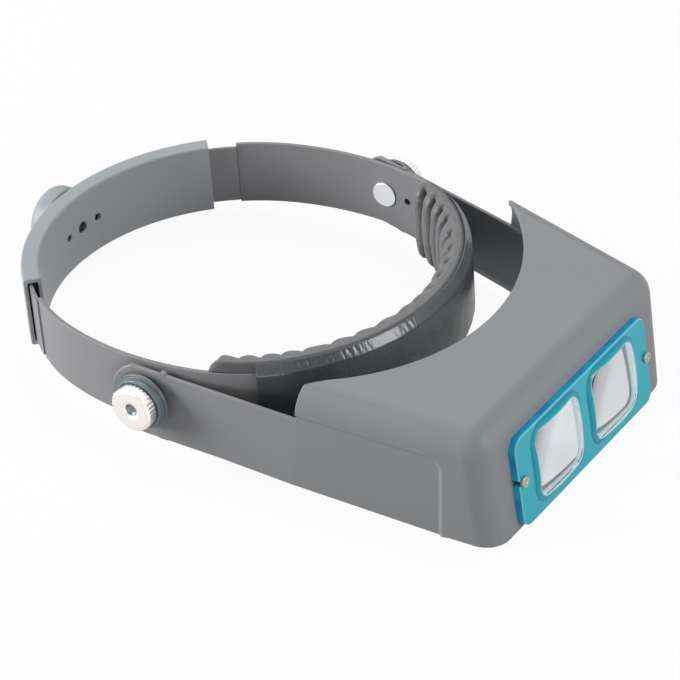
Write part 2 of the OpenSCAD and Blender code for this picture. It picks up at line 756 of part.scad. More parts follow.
// The rear housing, a curved sleeve that both tails run into
module rear_housing() {
    color(PLASTIC) strip_frame() difference() {
        arc_sweep(centre_4, 180 - housing_angle, 180 + housing_angle) housing_section();
        translate([0, housing_back_y + 1, 0]) rotate([90, 0, 0])
            cylinder(d = shaft_d + 2 * shaft_clearance, h = housing_wall + 2.2);
        translate([0, housing_front_y + housing_wall + 0.6, 0]) rotate([90, 0, 0])
            cylinder(d = service_hole_d, h = housing_wall + 2);
        for (x = [-side_hole_x, side_hole_x])
            translate([x, housing_front_y + housing_wall + 0.3, 0]) rotate([90, 0, 0])
                cylinder(d = side_hole_d, h = housing_wall + 3, $fn = 40);
    }
}

// Turns a shape made along +Z to run straight back from a distance behind the pivot axis
module rearward(y) {
    translate([0, y, 0]) rotate([-90, 0, 0]) children();
}

// The knob, turned to a rounded rim and hollow underneath
module ratchet_knob() {
    r = knob_d / 2;
    color(PLASTIC) strip_frame() rearward(knob_y) difference() {
        rotate_extrude($fn = 96) polygon(concat(
            [[0, 0], [r - 0.6, 0], [r, 0.8]],
            [for (a = [0:10:90])
                [r - knob_round + knob_round * cos(a),
                    knob_depth - knob_round + knob_round * sin(a)]],
            [[0, knob_depth]]
        ));
        translate([0, 0, -1]) cylinder(d = shaft_d + 2 * shaft_clearance, h = knob_depth - 1);
        difference() {
            translate([0, 0, -1]) cylinder(r = r - 2, h = knob_depth - knob_round + 0.6);
            translate([0, 0, -2]) cylinder(d = shaft_d + 5, h = knob_depth + 2);
        }
    }
}

// The shaft through the housing's outer wall, from the knob to the pinion
module knob_shaft() {
    inner = rear_y + hollow_r + 0.3;
    color(STEEL) strip_frame() rearward(inner) difference() {
        cylinder(d = shaft_d, h = knob_y + knob_depth - 2.2 - inner);
        translate([0, 0, -1]) cylinder(d = 2, h = 8.2, $fn = 32);
    }
}

// The pinion between the two racks
module pinion_gear() {
    outer = pitch_r + tooth_module - rack_play;
    root = pitch_r - 1.15 * tooth_module;
    color(SLATE) strip_frame() rearward(rear_y + inner_tail_r - tail_t / 2) difference() {
        union() {
            cylinder(r = root, h = pinion_w);
            for (tooth = [0:pinion_teeth - 1]) rotate([0, 0, tooth * 360 / pinion_teeth + 90])
                linear_extrude(pinion_w) polygon([
                    [root - 0.4, -1.05 * tooth_module], [pitch_r, -0.66 * tooth_module],
                    [outer, -0.3 * tooth_module], [outer, 0.3 * tooth_module],
                    [pitch_r, 0.66 * tooth_module], [root - 0.4, 1.05 * tooth_module]
                ]);
        }
        translate([0, 0, -1]) cylinder(d = shaft_d, h = pinion_w + 2);
    }
}

// The screw that holds the pinion's shaft, reached through the service hole
module pinion_screw() {
    y = rear_y + hollow_r + 0.3;
    color(STEEL) strip_frame() rearward(y) {
        translate([0, 0, -0.2]) rotate([180, 0, 0]) cylinder(d = 3.8, h = 1, $fn = 40);
        translate([0, 0, -0.3]) cylinder(d = 2, h = 7, $fn = 32);
    }
}

// The spring washer that gives the knob its clicks, with two raised tongues
module detent_spring() {
    tongue_d = 1.8;
    color(STEEL) strip_frame() rearward(housing_back_y + 0.05) difference() {
        union() {
            cylinder(d = spring_d, h = 0.4);
            for (x = [-1, 1]) translate([x * (spring_d / 2 - tongue_d + 0.2), 0, 0])
                cylinder(d = tongue_d, h = knob_gap - 0.15);
        }
        translate([0, 0, -1]) cylinder(d = shaft_d + 1.4, h = 3);
    }
}

head_strip();
strip_tail_left();
strip_tail_right();
forehead_cushion();
cushion_sleeve();
pivot_bolt(-1);  // pivot_bolt_left
pivot_bolt(1);  // pivot_bolt_right
strip_spacer(-1);  // strip_spacer_left
strip_spacer(1);  // strip_spacer_right
visor_shell();
lens_frame();
lens(-1);  // lens_left
lens(1);  // lens_right
plate_screw(-1);  // plate_screw_left
plate_screw(1);  // plate_screw_right
friction_washer(-1);  // friction_washer_left
friction_washer(1);  // friction_washer_right
thumb_nut(-1);  // thumb_nut_left
thumb_nut(1);  // thumb_nut_right
rear_housing();
detent_spring();
ratchet_knob();
knob_shaft();
pinion_gear();
pinion_screw();
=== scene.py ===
"""Looks of a headband magnifier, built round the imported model.

The strip frame has the pivot axis on X and the head strip level, and the plate frame lies on the
back of the lens plate. The sizes in the classes are millimetres in these frames, and become
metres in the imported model's frame when a mesh is made.
"""

import logging
import math
from collections.abc import Iterator
from contextlib import contextmanager
from dataclasses import dataclass
from enum import Enum
from typing import Any

import bmesh
import bpy
import numpy as np
from bpy.types import Material, Mesh, Node, NodeSocket, NodeTree, Object
from mathutils import Matrix
from numpy.typing import NDArray


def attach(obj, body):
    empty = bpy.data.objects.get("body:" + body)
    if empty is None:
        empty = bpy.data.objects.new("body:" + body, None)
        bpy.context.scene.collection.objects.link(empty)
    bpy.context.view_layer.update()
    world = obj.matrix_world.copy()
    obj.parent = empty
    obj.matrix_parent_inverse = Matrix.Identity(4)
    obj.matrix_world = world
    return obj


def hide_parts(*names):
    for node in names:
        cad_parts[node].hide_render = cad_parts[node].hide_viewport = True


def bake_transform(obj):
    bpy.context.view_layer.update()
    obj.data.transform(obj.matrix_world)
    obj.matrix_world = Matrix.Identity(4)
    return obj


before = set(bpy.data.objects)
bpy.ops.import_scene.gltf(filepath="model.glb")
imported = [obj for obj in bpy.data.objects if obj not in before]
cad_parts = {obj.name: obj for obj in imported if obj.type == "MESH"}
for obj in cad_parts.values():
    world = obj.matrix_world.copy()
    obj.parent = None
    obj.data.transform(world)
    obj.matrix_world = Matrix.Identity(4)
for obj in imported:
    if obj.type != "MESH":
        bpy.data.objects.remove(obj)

Array = NDArray[Any]
LOG = logging.getLogger("magnifier")
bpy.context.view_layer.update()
MM = 0.001
WHITE = (1.0, 1.0, 1.0, 1.0)
COLOURS = {"data_type": "RGBA"}


class Body(Enum):
    """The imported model's bodies."""

    HEADBAND = "headband"
    VISOR = "visor"
    LEFT_NUT = "left_nut"
    RIGHT_NUT = "right_nut"
    ADJUSTER = "adjuster"
    KNOB = "knob"


class Slot(Enum):
    """The record's material slots."""

    GREY = "grey_plastic"
    SLATE = "slate_plastic"
    LEATHERETTE = "grey_leatherette"
    VINYL = "slate_vinyl"
    NICKEL = "nickel"
    STEEL = "spring_steel"
    BLUE = "blue_acrylic"
    LENS = "clear_lens"


class Side(Enum):
    """The wearer's sides, as the sign of X."""

    LEFT = -1
    RIGHT = 1


def turn_x(points: Array, degrees: float) -> Array:
    """Turns points about the X axis.

    Args:
        points: Points, with x, y and z last.
        degrees: The turn, from +Y towards +Z.

    Returns:
        The turned points.
    """
    c, s = math.cos(math.radians(degrees)), math.sin(math.radians(degrees))
    x, y, z = points[..., 0], points[..., 1], points[..., 2]
    return np.stack([x, y * c - z * s, y * s + z * c], axis=-1)


@dataclass(frozen=True)
class Rest:
    """Where the strip, visor and plate frames lie while the part rests on a table."""

    tilt: float = 5.06707
    rest_y: float = 15.5541
    rest_z: float = 23.9592
    drop: float = 7.0
    lean: float = 12.5
    plate_y: float = 137.1
    plate_z: float = 0.3

    def strip(self, points: Array) -> Array:
        """Takes points in the strip frame, in millimetres, to the model's frame, in metres."""
        return (turn_x(points, -self.tilt) + np.array([0.0, self.rest_y, self.rest_z])) * MM

    def plate(self, points: Array) -> Array:
        """Takes points in the plate frame, in millimetres, to the model's frame, in metres."""
        hung = turn_x(points, -self.lean) + np.array([0.0, -self.plate_y, self.plate_z])
        return self.strip(turn_x(hung, self.drop))


REST = Rest()


@dataclass(frozen=True)
class HeadLoop:
    """The strip's plan: tangent arcs on each side of the middle of the forehead."""

    front: float = 74.2
    radii: tuple[float, float, float] = (83.5, 68.0, 115.0)
    turns: tuple[float, float, float] = (46.5, 30.5, 29.5)

    def marks(self) -> Array:
        """The turns at which one arc passes into the next, in degrees."""
        return np.concatenate([[0.0], np.cumsum(self.turns)])

    def centres(self) -> Array:
        """The arcs' centres. Each next centre lies on the line from the last one to the joint."""
        found = [np.array([0.0, self.radii[0] - self.front])]
        for k, mark in enumerate(np.radians(self.marks()[1:3])):
            step = (self.radii[k] - self.radii[k + 1]) * np.array([math.sin(mark), -math.cos(mark)])
            found.append(found[-1] + step)
        return np.array(found)

    def place(self, turn: Array, inward: Array, height: Array) -> Array:
        """Places points beside the strip's middle line.

        A point is its arc's centre plus the radius less the inward distance, along the heading
        (sin turn, -cos turn), and is mirrored where the turn is negative.

        Args:
            turn: Turns from straight ahead, in degrees, positive to the right.
            inward: Distances from the middle line in towards the head.
            height: Heights above the middle of the strip.

        Returns:
            Points in the strip frame.
        """
        size = np.abs(turn)
        which = np.clip(np.searchsorted(self.marks()[1:3], size), 0, 2)
        centre, radius = self.centres()[which], np.array(self.radii)[which] - inward
        angle = np.radians(size)
        x = centre[..., 0] + radius * np.sin(angle)
        y = centre[..., 1] - radius * np.cos(angle)
        return np.stack([np.where(turn < 0, -x, x), y, np.broadcast_to(height, x.shape)], axis=-1)

    def run(self, turn: Array) -> Array:
        """Length along the middle line from the middle of the forehead to a turn."""
        lengths = np.concatenate([[0.0], np.cumsum(np.radians(self.turns) * np.array(self.radii))])
        return np.sign(turn) * np.interp(np.abs(turn), self.marks(), lengths)


LOOP = HeadLoop()


def wander(t: Array, seed: float) -> Array:
    """A smooth wandering number between about -1 and 1, the sum of three sines whose speeds share
    no common measure.

    Args:
        t: Where to read it. It changes over steps of about 1.
        seed: Shifts the three sines.

    Returns:
        The number at each t.
    """
    waves = ((1.0, 1.00, 1.7), (0.7, 2.236, 3.1), (0.45, 4.123, 5.9))
    total = sum(a * np.sin(s * t + p * seed) for a, s, p in waves)
    return np.asarray(total) / 1.6


def ease(t: Array) -> Array:
    """A smooth step from 0 to 1 as t goes from 0 to 1."""
    held = np.clip(t, 0.0, 1.0)
    return held * held * (3.0 - 2.0 * held)


def read(items: Any, name: str, width: int, kind: type = np.float32) -> Array:
    """Reads one property of every item, such as each vertex's place, as rows of numbers."""
    found = np.zeros(len(items) * width, kind)
    items.foreach_get(name, found)
    return found.reshape(-1, width)


@contextmanager
def reworked(mesh: Mesh) -> Iterator[bmesh.types.BMesh]:
    """Opens a mesh for edits, which go back to it at the end."""
    work = bmesh.new()
    work.from_mesh(mesh)
    yield work
    work.to_mesh(mesh)
    work.free()


def make_piece(name: str, vertices: Array, faces: list[list[int]]) -> Object:
    """Makes an object at the origin from points in metres, shaded smooth."""
    mesh = bpy.data.meshes.new(name)
    mesh.from_pydata(vertices, [], faces)
    mesh.shade_smooth()
    piece = bpy.data.objects.new(name, mesh)
    bpy.context.scene.collection.objects.link(piece)
    return piece


def skin(name: str, points: Array, ring: bool, flip: bool, uv: Array | None = None) -> Object:
    """Covers a grid of points with quads.

    Row i, column j joins row i + 1 and column j + 1. The columns close on themselves. The rows do
    too for a ring, and otherwise each end is closed by one face over its row.

    Args:
        name: The piece's name.
        points: Rows by columns of points in metres.
        ring: Whether the rows close on themselves.
        flip: Whether to turn the faces over, so that they point outwards.
        uv: Rows by columns of pairs for the UV map, in metres along the surface.

    Returns:
        The new object.
    """
    rows, columns = points.shape[:2]
    index = np.arange(rows * columns).reshape(rows, columns)
    here = index if ring else index[:-1]
    ahead = np.roll(index, -1, axis=0) if ring else index[1:]
    quads = np.stack(
        [here, np.roll(here, -1, axis=1), np.roll(ahead, -1, axis=1), ahead], axis=-1
    ).reshape(-1, 4)
    faces = (quads[:, ::-1] if flip else quads).tolist()
    if not ring:
        ends = [index[0, ::-1].tolist(), index[-1].tolist()]
        faces += [end[::-1] for end in ends] if flip else ends
    piece = make_piece(name, points.reshape(-1, 3), faces)
    if uv is not None:
        corner = read(piece.data.loops, "vertex_index", 1, np.int32)[:, 0]
        layer = piece.data.uv_layers.new(name="Along")
        layer.data.foreach_set("uv", uv.reshape(-1, 2)[corner].astype(np.float32).ravel())
    return piece


def mark(piece: Object, name: str, values: Array) -> None:
    """Gives a piece a number at every point, for its material to read."""
    marks = piece.data.attributes.new(name, "FLOAT", "POINT")
    marks.data.foreach_set("value", values.astype(np.float32).ravel())


def merged_copy(node: str, name: str, crease: float, plane: float = 0.3) -> Object:
    """Copies a CAD node's loose triangles, merges them, and joins those that lie in one plane.

    Args:
        node: The CAD node to copy. Its own mesh is left alone.
        name: The new piece's name.
        crease: The angle between faces, in degrees, from which an edge stays sharp.
        plane: The angle, in degrees, up to which faces are joined as lying in one plane.

    Returns:
        The new object.
    """
    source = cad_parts[node].data
    points = read(source.vertices, "co", 3).astype(float)
    corners = read(source.loops, "vertex_index", 1, np.int32).reshape(-1, 3)
    piece = make_piece(name, points, corners.tolist())
    with reworked(piece.data) as work:
        bmesh.ops.remove_doubles(work, verts=work.verts, dist=0.002 * MM)
        if plane > 0:
            bmesh.ops.dissolve_limit(
                work, angle_limit=math.radians(plane), verts=work.verts, edges=work.edges
            )
    piece.data.shade_smooth()
    piece.data.set_sharp_from_angle(angle=math.radians(crease))
    return piece


def spare_edges(piece: Object, crease: float, low: float, high: float) -> None:
    """Marks a piece's sharp edges for rounding, all but those between two planes across Y, where
    a small nub leaves no room for it. The piece is cut along both planes first.

    Args:
        piece: The piece to mark.
        crease: The angle between faces, in degrees, from which an edge is sharp.
        low: The first plane's Y, in millimetres.
        high: The second plane's Y.
    """
    mesh = piece.data
    with reworked(mesh) as work:
        for y in (low, high):
            parts = [*work.verts, *work.edges, *work.faces]
            plane = {"plane_co": (0, y * MM, 0), "plane_no": (0, 1, 0)}
            bmesh.ops.bisect_plane(work, geom=parts, dist=1e-7, **plane)
    mesh.set_sharp_from_angle(angle=math.radians(crease))
    sharp = read(mesh.attributes["sharp_edge"].data, "value", 1, bool)[:, 0]
    ends = read(mesh.edges, "vertices", 2, np.int32)
    y = read(mesh.vertices, "co", 3)[:, 1][ends] / MM
    beside = ((y > low - 0.01) & (y < high + 0.01)).all(axis=1)
    weight = mesh.attributes.new("bevel_weight_edge", "FLOAT", "EDGE")
    weight.data.foreach_set("value", (sharp & ~beside).astype(np.float32))


def round_edges(
    piece: Object, width: float, angle: float, clamp: bool = False, marked: bool = False
) -> None:
    """Rounds a piece's sharp edges a little, so that they catch the light as moulded ones do.

    Args:
        piece: The piece to finish.
        width: The rounding's width, in millimetres.
        angle: The angle between faces, in degrees, from which an edge is rounded.
        clamp: Whether short edges may narrow the rounding.
        marked: Whether only marked edges are rounded, whatever their angle.
    """
    bevel = piece.modifiers.new("Edge", "BEVEL")
    bevel.width = width * MM
    bevel.segments = 2
    bevel.limit_method = "WEIGHT" if marked else "ANGLE"
    bevel.angle_limit = math.radians(angle)
    bevel.use_clamp_overlap = clamp
    bevel.miter_outer = "MITER_ARC"
    normals = piece.modifiers.new("Normals", "WEIGHTED_NORMAL")
    normals.keep_sharp = True


def linear(code: str) -> tuple[float, float, float, float]:
    """Turns an sRGB hex colour such as #8a8b8d to linear red, green and blue, with alpha 1."""
    parts = [int(code[i : i + 2], 16) / 255 for i in (1, 3, 5)]
    low, high = [p / 12.92 for p in parts], [((p + 0.055) / 1.055) ** 2.4 for p in parts]
    r, g, b = (lo if p <= 0.04045 else hi for p, lo, hi in zip(parts, low, high))
    return (r, g, b, 1.0)


def add_node(tree: NodeTree, kind: str, inputs: dict[str | int, Any], **settings: Any) -> Node:
    """Adds a shader node.

    Args:
        tree: The node tree to add it to.
        kind: The node's type, without the word ShaderNode.
        inputs: Its inputs by name or number. Each is a value, another node's output to link, or
            another node, whose first output is linked.
        settings: The node's own settings.

    Returns:
        The new node.
    """
    made = tree.nodes.new("ShaderNode" + kind)
    for name, value in settings.items():
        setattr(made, name, value)
    for name, value in inputs.items():
        source = value.outputs[0] if isinstance(value, Node) else value
        if isinstance(source, NodeSocket):
            tree.links.new(source, made.inputs[name])
        else:
            made.inputs[name].default_value = source
    return made


def noise(tree: NodeTree, place: NodeSocket, size: float, detail: float = 2.0) -> Node:
    """Adds a noise whose spots are about this size, in millimetres."""
    return add_node(tree, "TexNoise", {"Vector": place, "Scale": 1 / (size * MM), "Detail": detail})


def tone(tree: NodeTree, share: Any, start: str, end: str) -> NodeSocket:
    """Mixes two hex colours, from the start where the share is 0 to the end where it is 1."""
    ends = {6: linear(start), 7: linear(end)}
    return add_node(tree, "Mix", {0: share, **ends}, **COLOURS).outputs[2]


def spread(tree: NodeTree, value: Node, low: float, high: float) -> Node:
    """Maps a number between 0 and 1 onto a range."""
    return add_node(tree, "MapRange", {"Value": value, "To Min": low, "To Max": high})


def relief(tree: NodeTree, height: Node, depth: float, strength: float) -> Node:
    """Bends the light as small bumps of this depth would, in millimetres."""
    bumps = {"Height": height, "Distance": depth * MM, "Strength": strength}
    return add_node(tree, "Bump", bumps)


@dataclass(frozen=True)
class Finish:
    """A finish, named after the real material. Each kind says how its surface is shaded."""

    name: str

    def surface(self, tree: NodeTree, place: NodeSocket) -> Node:
        """Adds the finish's nodes.

        Args:
            tree: The material's node tree.
            place: Where a point lies in the part, in metres.

        Returns:
            The node whose first output is the surface.
        """
        raise NotImplementedError

    def make(self) -> Material:
        """Makes the material."""
        made = bpy.data.materials.new(self.name)
        made.use_nodes = True
        tree = made.node_tree
        tree.nodes.clear()
        place = add_node(tree, "TexCoord", {}).outputs["Object"]
        add_node(tree, "OutputMaterial", {"Surface": self.surface(tree, place)})
        return made


@dataclass(frozen=True)
class MouldedPlastic(Finish):
    """Injection-moulded ABS from a finely spark-eroded mould: a matt, even grey with a soft
    broad shine, a fine even grain, and a slight drift of tone where the melt cooled."""

    colour: str
    drift: str
    roughness: float = 0.46
    patch: float = 38.0
    grain: float = 0.55
    grain_depth: float = 0.018

    def surface(self, tree: NodeTree, place: NodeSocket) -> Node:
        """Adds the nodes. The grain is 0.55 mm, coarser than the real 0.1 mm, so that it shows
        in the render."""
        slow, fine = noise(tree, place, self.patch), noise(tree, place, self.grain, 3.0)
        shader = {
            "Base Color": tone(tree, slow, self.colour, self.drift),
            "Roughness": spread(tree, fine, self.roughness - 0.05, self.roughness + 0.07),
            "IOR": 1.53,
            "Normal": relief(tree, fine, self.grain_depth, 0.6),
        }
        return add_node(tree, "BsdfPrincipled", shader)


@dataclass(frozen=True)
class Leatherette(Finish):
    """PVC-coated knit, embossed with a fine leather grain: a soft grey with a dull sheen, small
    pebbles about 0.9 mm across, and a darker tone painted down in the folds as painted shade."""

    colour: str
    # deep: the colour painted down in the folds, as painted shade.
    deep: str
    pebble: float = 0.9
    crease: float = 3.2
    grain_depth: float = 0.05
    roughness: float = 0.5

    def surface(self, tree: NodeTree, place: NodeSocket) -> Node:
        """Adds the nodes. The piece's fold attribute is 1 in the depth of a fold, where the colour
        goes to the deep colour as painted shade.
        """
        fold = add_node(tree, "Attribute", {}, attribute_name="fold").outputs["Fac"]
        grain = {"Vector": place, "Scale": 1 / (self.pebble * MM), "Smoothness": 0.5}
        pebbles = add_node(tree, "TexVoronoi", grain, feature="SMOOTH_F1")
        creases = noise(tree, place, self.crease, 5.0)
        height = add_node(tree, "Math", {0: creases, 1: 2.0, 2: pebbles}, operation="MULTIPLY_ADD")
        shader = {
            # Painted shade: the base colour goes dark towards deep where the fold attribute is
            # high.
            "Base Color": tone(tree, fold, self.colour, self.deep),
            "Roughness": spread(tree, creases, self.roughness - 0.12, self.roughness + 0.1),
            "Sheen Weight": 0.12,
            "IOR": 1.5,
            "Normal": relief(tree, height, self.grain_depth, 0.7),
        }
        return add_node(tree, "BsdfPrincipled", shader)


@dataclass(frozen=True)
class SoftVinyl(Finish):
    """Calendered PVC sheet, pulled over an edge: dark slate, smooth and half glossy, with fine
    stretch lines across the bend."""

    colour: str
    worn: str
    roughness: float = 0.25
    line: tuple[float, float] = (1.6, 22.0)
    patch: float = 9.0
    line_depth: float = 0.12

    def surface(self, tree: NodeTree, place: NodeSocket) -> Node:
        """Adds the nodes. The lines follow the piece's UV map, 1.6 mm apart on average."""
        along = add_node(tree, "UVMap", {}, uv_map="Along")
        scale = (1 / (self.line[0] * MM), 1 / (self.line[1] * MM), 1.0)
        stretched = add_node(tree, "Mapping", {"Vector": along, "Scale": scale})
        lines = add_node(tree, "TexNoise", {"Vector": stretched, "Scale": 1.0, "Detail": 3.0})
        slow = noise(tree, place, self.patch, 4.0)
        shader = {
            "Base Color": tone(tree, slow, self.colour, self.worn),
            "Roughness": spread(tree, slow, self.roughness - 0.08, self.roughness + 0.1),
            "IOR": 1.53,
            "Normal": relief(tree, lines, self.line_depth, 0.5),
        }
        return add_node(tree, "BsdfPrincipled", shader)


@dataclass(frozen=True)
class PlatedMetal(Finish):
    """Turned brass or steel under bright plating: a pale metal with faint turning marks 0.4 mm
    apart and small rubbed patches 3 mm across."""

    colour: str
    roughness: float
    marks: float = 0.4
    patch: float = 3.0
    mark_depth: float = 0.012

    def surface(self, tree: NodeTree, place: NodeSocket) -> Node:
        """Adds the nodes."""
        rubbed, fine = noise(tree, place, self.patch, 4.0), noise(tree, place, self.marks)
        shader = {
            "Base Color": linear(self.colour),
            "Metallic": 1.0,
            "Roughness": spread(tree, rubbed, self.roughness - 0.08, self.roughness + 0.12),
            "Normal": relief(tree, fine, self.mark_depth, 0.5),
        }
        return add_node(tree, "BsdfPrincipled", shader)


@dataclass(frozen=True)
class DyedAcrylic(Finish):
    """Injection-moulded acrylic dyed through: bright cyan on its face, a pale line painted at the
    bevel as painted highlight, where the bevel gathers the light, and a deep blue at the side
    walls, where one looks along the sheet."""

    face: str = "#22c3d7"
    # line: the pale colour of the bevel, a painted highlight.
    line: str = "#8fe6f4"
    wall: str = "#089fe6"
    thin: str = "#12c8e4"
    clear: float = 0.12
    patch: float = 9.0
    wall_depths: tuple[float, float] = (-2.75, -2.35)
    bevel_depths: tuple[float, float] = (-2.99, -2.9)
    patches: tuple[float, float] = (0.42, 0.6)

    def surface(self, tree: NodeTree, place: NodeSocket) -> Node:
        """Adds the nodes. The plate's depth, read in the plate's own frame, tells the face
        (3 mm) from the bevel and the walls. The walls drift between blue and cyan over 9 mm."""
        lean = math.radians(-REST.tilt + REST.drop - REST.lean)
        turned = {
            "Vector": place,
            "Location": REST.plate(np.zeros(3)).tolist(),
            "Rotation": (lean, 0, 0),
            "Scale": (MM, MM, MM),
        }
        own = add_node(tree, "Mapping", turned, vector_type="TEXTURE")
        depth = add_node(tree, "SeparateXYZ", {0: own}).outputs["Y"]
        swirl = noise(tree, place, self.patch)
        ranges = ((depth, self.wall_depths), (depth, self.bevel_depths), (swirl, self.patches))
        walls, bevel, patch = (
            add_node(tree, "MapRange", {"Value": value, "From Min": low, "From Max": high})
            for value, (low, high) in ranges
        )
        side = tone(tree, patch, self.wall, self.thin)
        # Painted highlight: the bevel is coloured pale.
        edge = tone(tree, bevel, self.face, self.line)
        mixed = add_node(tree, "Mix", {0: walls, 6: edge, 7: side}, **COLOURS)
        shader = {
            "Base Color": mixed.outputs[2],
            "Roughness": 0.1,
            "IOR": 1.4,
            "Transmission Weight": self.clear,
        }
        return add_node(tree, "BsdfPrincipled", shader)


@dataclass(frozen=True)
class DyedRim(Finish):
    """The same dyed acrylic at the windows' raised rims: pale on the polished crest and the wall
    inside it, as painted highlight, bright teal on the slope, and darker in the moulded line at the
    foot, as painted shade."""

    starts: tuple[float, ...] = (0.0, 0.16, 0.27, 0.42, 0.72, 0.9, 1.0)
    # The two pale shades at the wall and crest are painted highlight; the darker one at 0.9, in the
    # foot's line, is painted shade.
    shades: str = "#dcf0f1 #dff4f5 #8fe2ea #10b4cc #12bacf #089ab4 #22c3d7"
    clear: float = 0.3
    painted_glow: float = 0.28
    patch: float = 7.0

    def surface(self, tree: NodeTree, place: NodeSocket) -> Node:
        """Adds the nodes. The piece's band attribute runs from the wall to the foot. The wall
        inside glows a little by emission, as painted light, standing for the light that such a
        sheet lets out at its edges after gathering it over its face."""
        band = add_node(tree, "Attribute", {}, attribute_name="band").outputs["Fac"]
        drift = spread(tree, noise(tree, place, self.patch), -0.05, 0.05)
        at = add_node(tree, "Math", {0: band, 1: drift}, operation="ADD")
        ramp = add_node(tree, "ValToRGB", {"Fac": at})
        stops = ramp.color_ramp.elements
        stops.remove(stops[1])
        for start, shade in zip(self.starts, self.shades.split()):
            stop = stops.new(start) if start > 0 else stops[0]
            stop.color = linear(shade)
        painted_glow_fade = {"From Min": 0.05, "From Max": 0.3, "To Min": self.painted_glow, "To Max": 0.0}
        shader = {
            "Base Color": ramp,
            "Roughness": 0.1,
            "IOR": 1.4,
            "Transmission Weight": self.clear,
            # Painted light: the wall inside glows by emission.
            "Emission Color": ramp,
            "Emission Strength": add_node(tree, "MapRange", {"Value": band, **painted_glow_fade}),
        }
        return add_node(tree, "BsdfPrincipled", shader)


@dataclass(frozen=True)
class ClearAcrylic(Finish):
    """Polished optical acrylic: colourless and clear, with a faint grey over long paths."""

    colour: str
    pale: str = "#f4f6f7"
    shaded: str = "#f2f4f5"
    wave: float = 12.0

    def surface(self, tree: NodeTree, place: NodeSocket) -> Node:
        """Adds the nodes. Very slow waves stand for the moulding's slight unevenness, and rays
        from the lamps pass straight through, so that they light what is behind."""
        waves = noise(tree, place, self.wave, 0.0)
        shader = {
            "Base Color": tone(tree, waves, self.colour, self.pale),
            "Roughness": 0.02,
            "IOR": 1.46,
            "Transmission Weight": 1.0,
        }
        shadow = add_node(tree, "LightPath", {}).outputs["Is Shadow Ray"]
        clear = add_node(tree, "BsdfPrincipled", shader)
        through = add_node(tree, "BsdfTransparent", {"Color": linear(self.shaded)})
        return add_node(tree, "MixShader", {0: shadow, 1: clear, 2: through})


@dataclass(frozen=True)
class PaperSweep(Finish):
    """Matt white paper. Camera rays see it mostly as plain white, with enough of its lit surface
    to keep the part's shadow, and glossy and transmission rays see a duller white."""

    lit: str = "#9c9c9c"
    seen: str = "#f7f7f7"
    rays: tuple[str, ...] = ("Camera", "Glossy", "Transmission")
    plain: tuple[float, ...] = (0.93, 0.5, 0.2)

    def surface(self, tree: NodeTree, place: NodeSocket) -> Node:
        """Adds the nodes. The share of plain white adds up over the kinds of ray."""
        path = add_node(tree, "LightPath", {})
        seen: Any = 0.0
        share: Any = 0.0
        for kind, part in zip(self.rays, self.plain):
            ray = path.outputs[f"Is {kind} Ray"]
            seen = add_node(tree, "Math", {0: ray, 1: seen}, operation="MAXIMUM")
            share = add_node(tree, "Math", {0: ray, 1: part, 2: share}, operation="MULTIPLY_ADD")
        paper = add_node(tree, "BsdfDiffuse", {"Color": tone(tree, seen, self.lit, self.seen)})
        white = add_node(tree, "Emission", {"Color": WHITE, "Strength": 1.0})
        return add_node(tree, "MixShader", {0: share, 1: paper, 2: white})


class Look(Enum):
    """The part's finishes."""

    STRIP = MouldedPlastic("Moulded_ABS_strip", "#87868a", "#8c8b8d")
    VISOR = MouldedPlastic("Moulded_ABS_visor", "#8b8c8f", "#909194", 0.52)
    # The housing and knob are the same grey ABS as the strip and visor; their lighter, bluer tone
    # is painted light.
    HOUSING = MouldedPlastic("Moulded_ABS_housing", "#a8acb0", "#a0a7aa")
    WASHER = MouldedPlastic("Moulded_nylon_slate", "#69757b", "#727e84", 0.34)
    # Each leatherette's second colour is painted shade, for down in the folds.
    CUSHION = Leatherette("Embossed_leatherette_grey", "#747375", "#3e3d41")
    BACKING = Leatherette("Embossed_leatherette_slate", "#4a4c4f", "#36383b")
    SLEEVE = SoftVinyl("Calendered_vinyl_slate", "#4d5155", "#5a6064")
    NICKEL = PlatedMetal("Nickel_plate_turned", "#f5f2f0", 0.36)
    STEEL = PlatedMetal("Spring_steel_ground", "#b4b6b8", 0.32)
    SCREW = PlatedMetal("Zinc_plate_dull", "#b4b1ae", 0.36)
    BOLT = PlatedMetal("Zinc_plate_blue", "#eef2f6", 0.34)
    # The bolt's end inside the nut is painted a darker grey, as painted shade of the nut's recess.
    BOLT_END = PlatedMetal("Zinc_plate_painted_shade", "#7f8f92", 0.42)
    BLACK = PlatedMetal("Blackened_steel", "#2c2d2f", 0.42)
    BLUE = DyedAcrylic("Dyed_acrylic_blue")
    RIM = DyedRim("Dyed_acrylic_rim")
    LENS = ClearAcrylic("Optical_acrylic_clear", "#e6e9ea")
    PAPER = PaperSweep("White_paper_sweep")

    def material(self) -> Material:
        """The finish's material, made once."""
        return bpy.data.materials.get(self.value.name) or self.value.make()


def dress(piece: Object, look: Look, body: Body, slot: Slot, *nodes: str) -> None:
    """Gives a new piece its finish and its body, and hides the CAD nodes that it stands for."""
    piece.data.materials.append(look.material())
    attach(piece, body.value)
    if nodes:
        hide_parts(*nodes)
    LOG.info("%s: %d faces, on %s", piece.name, len(piece.data.polygons), body.value)


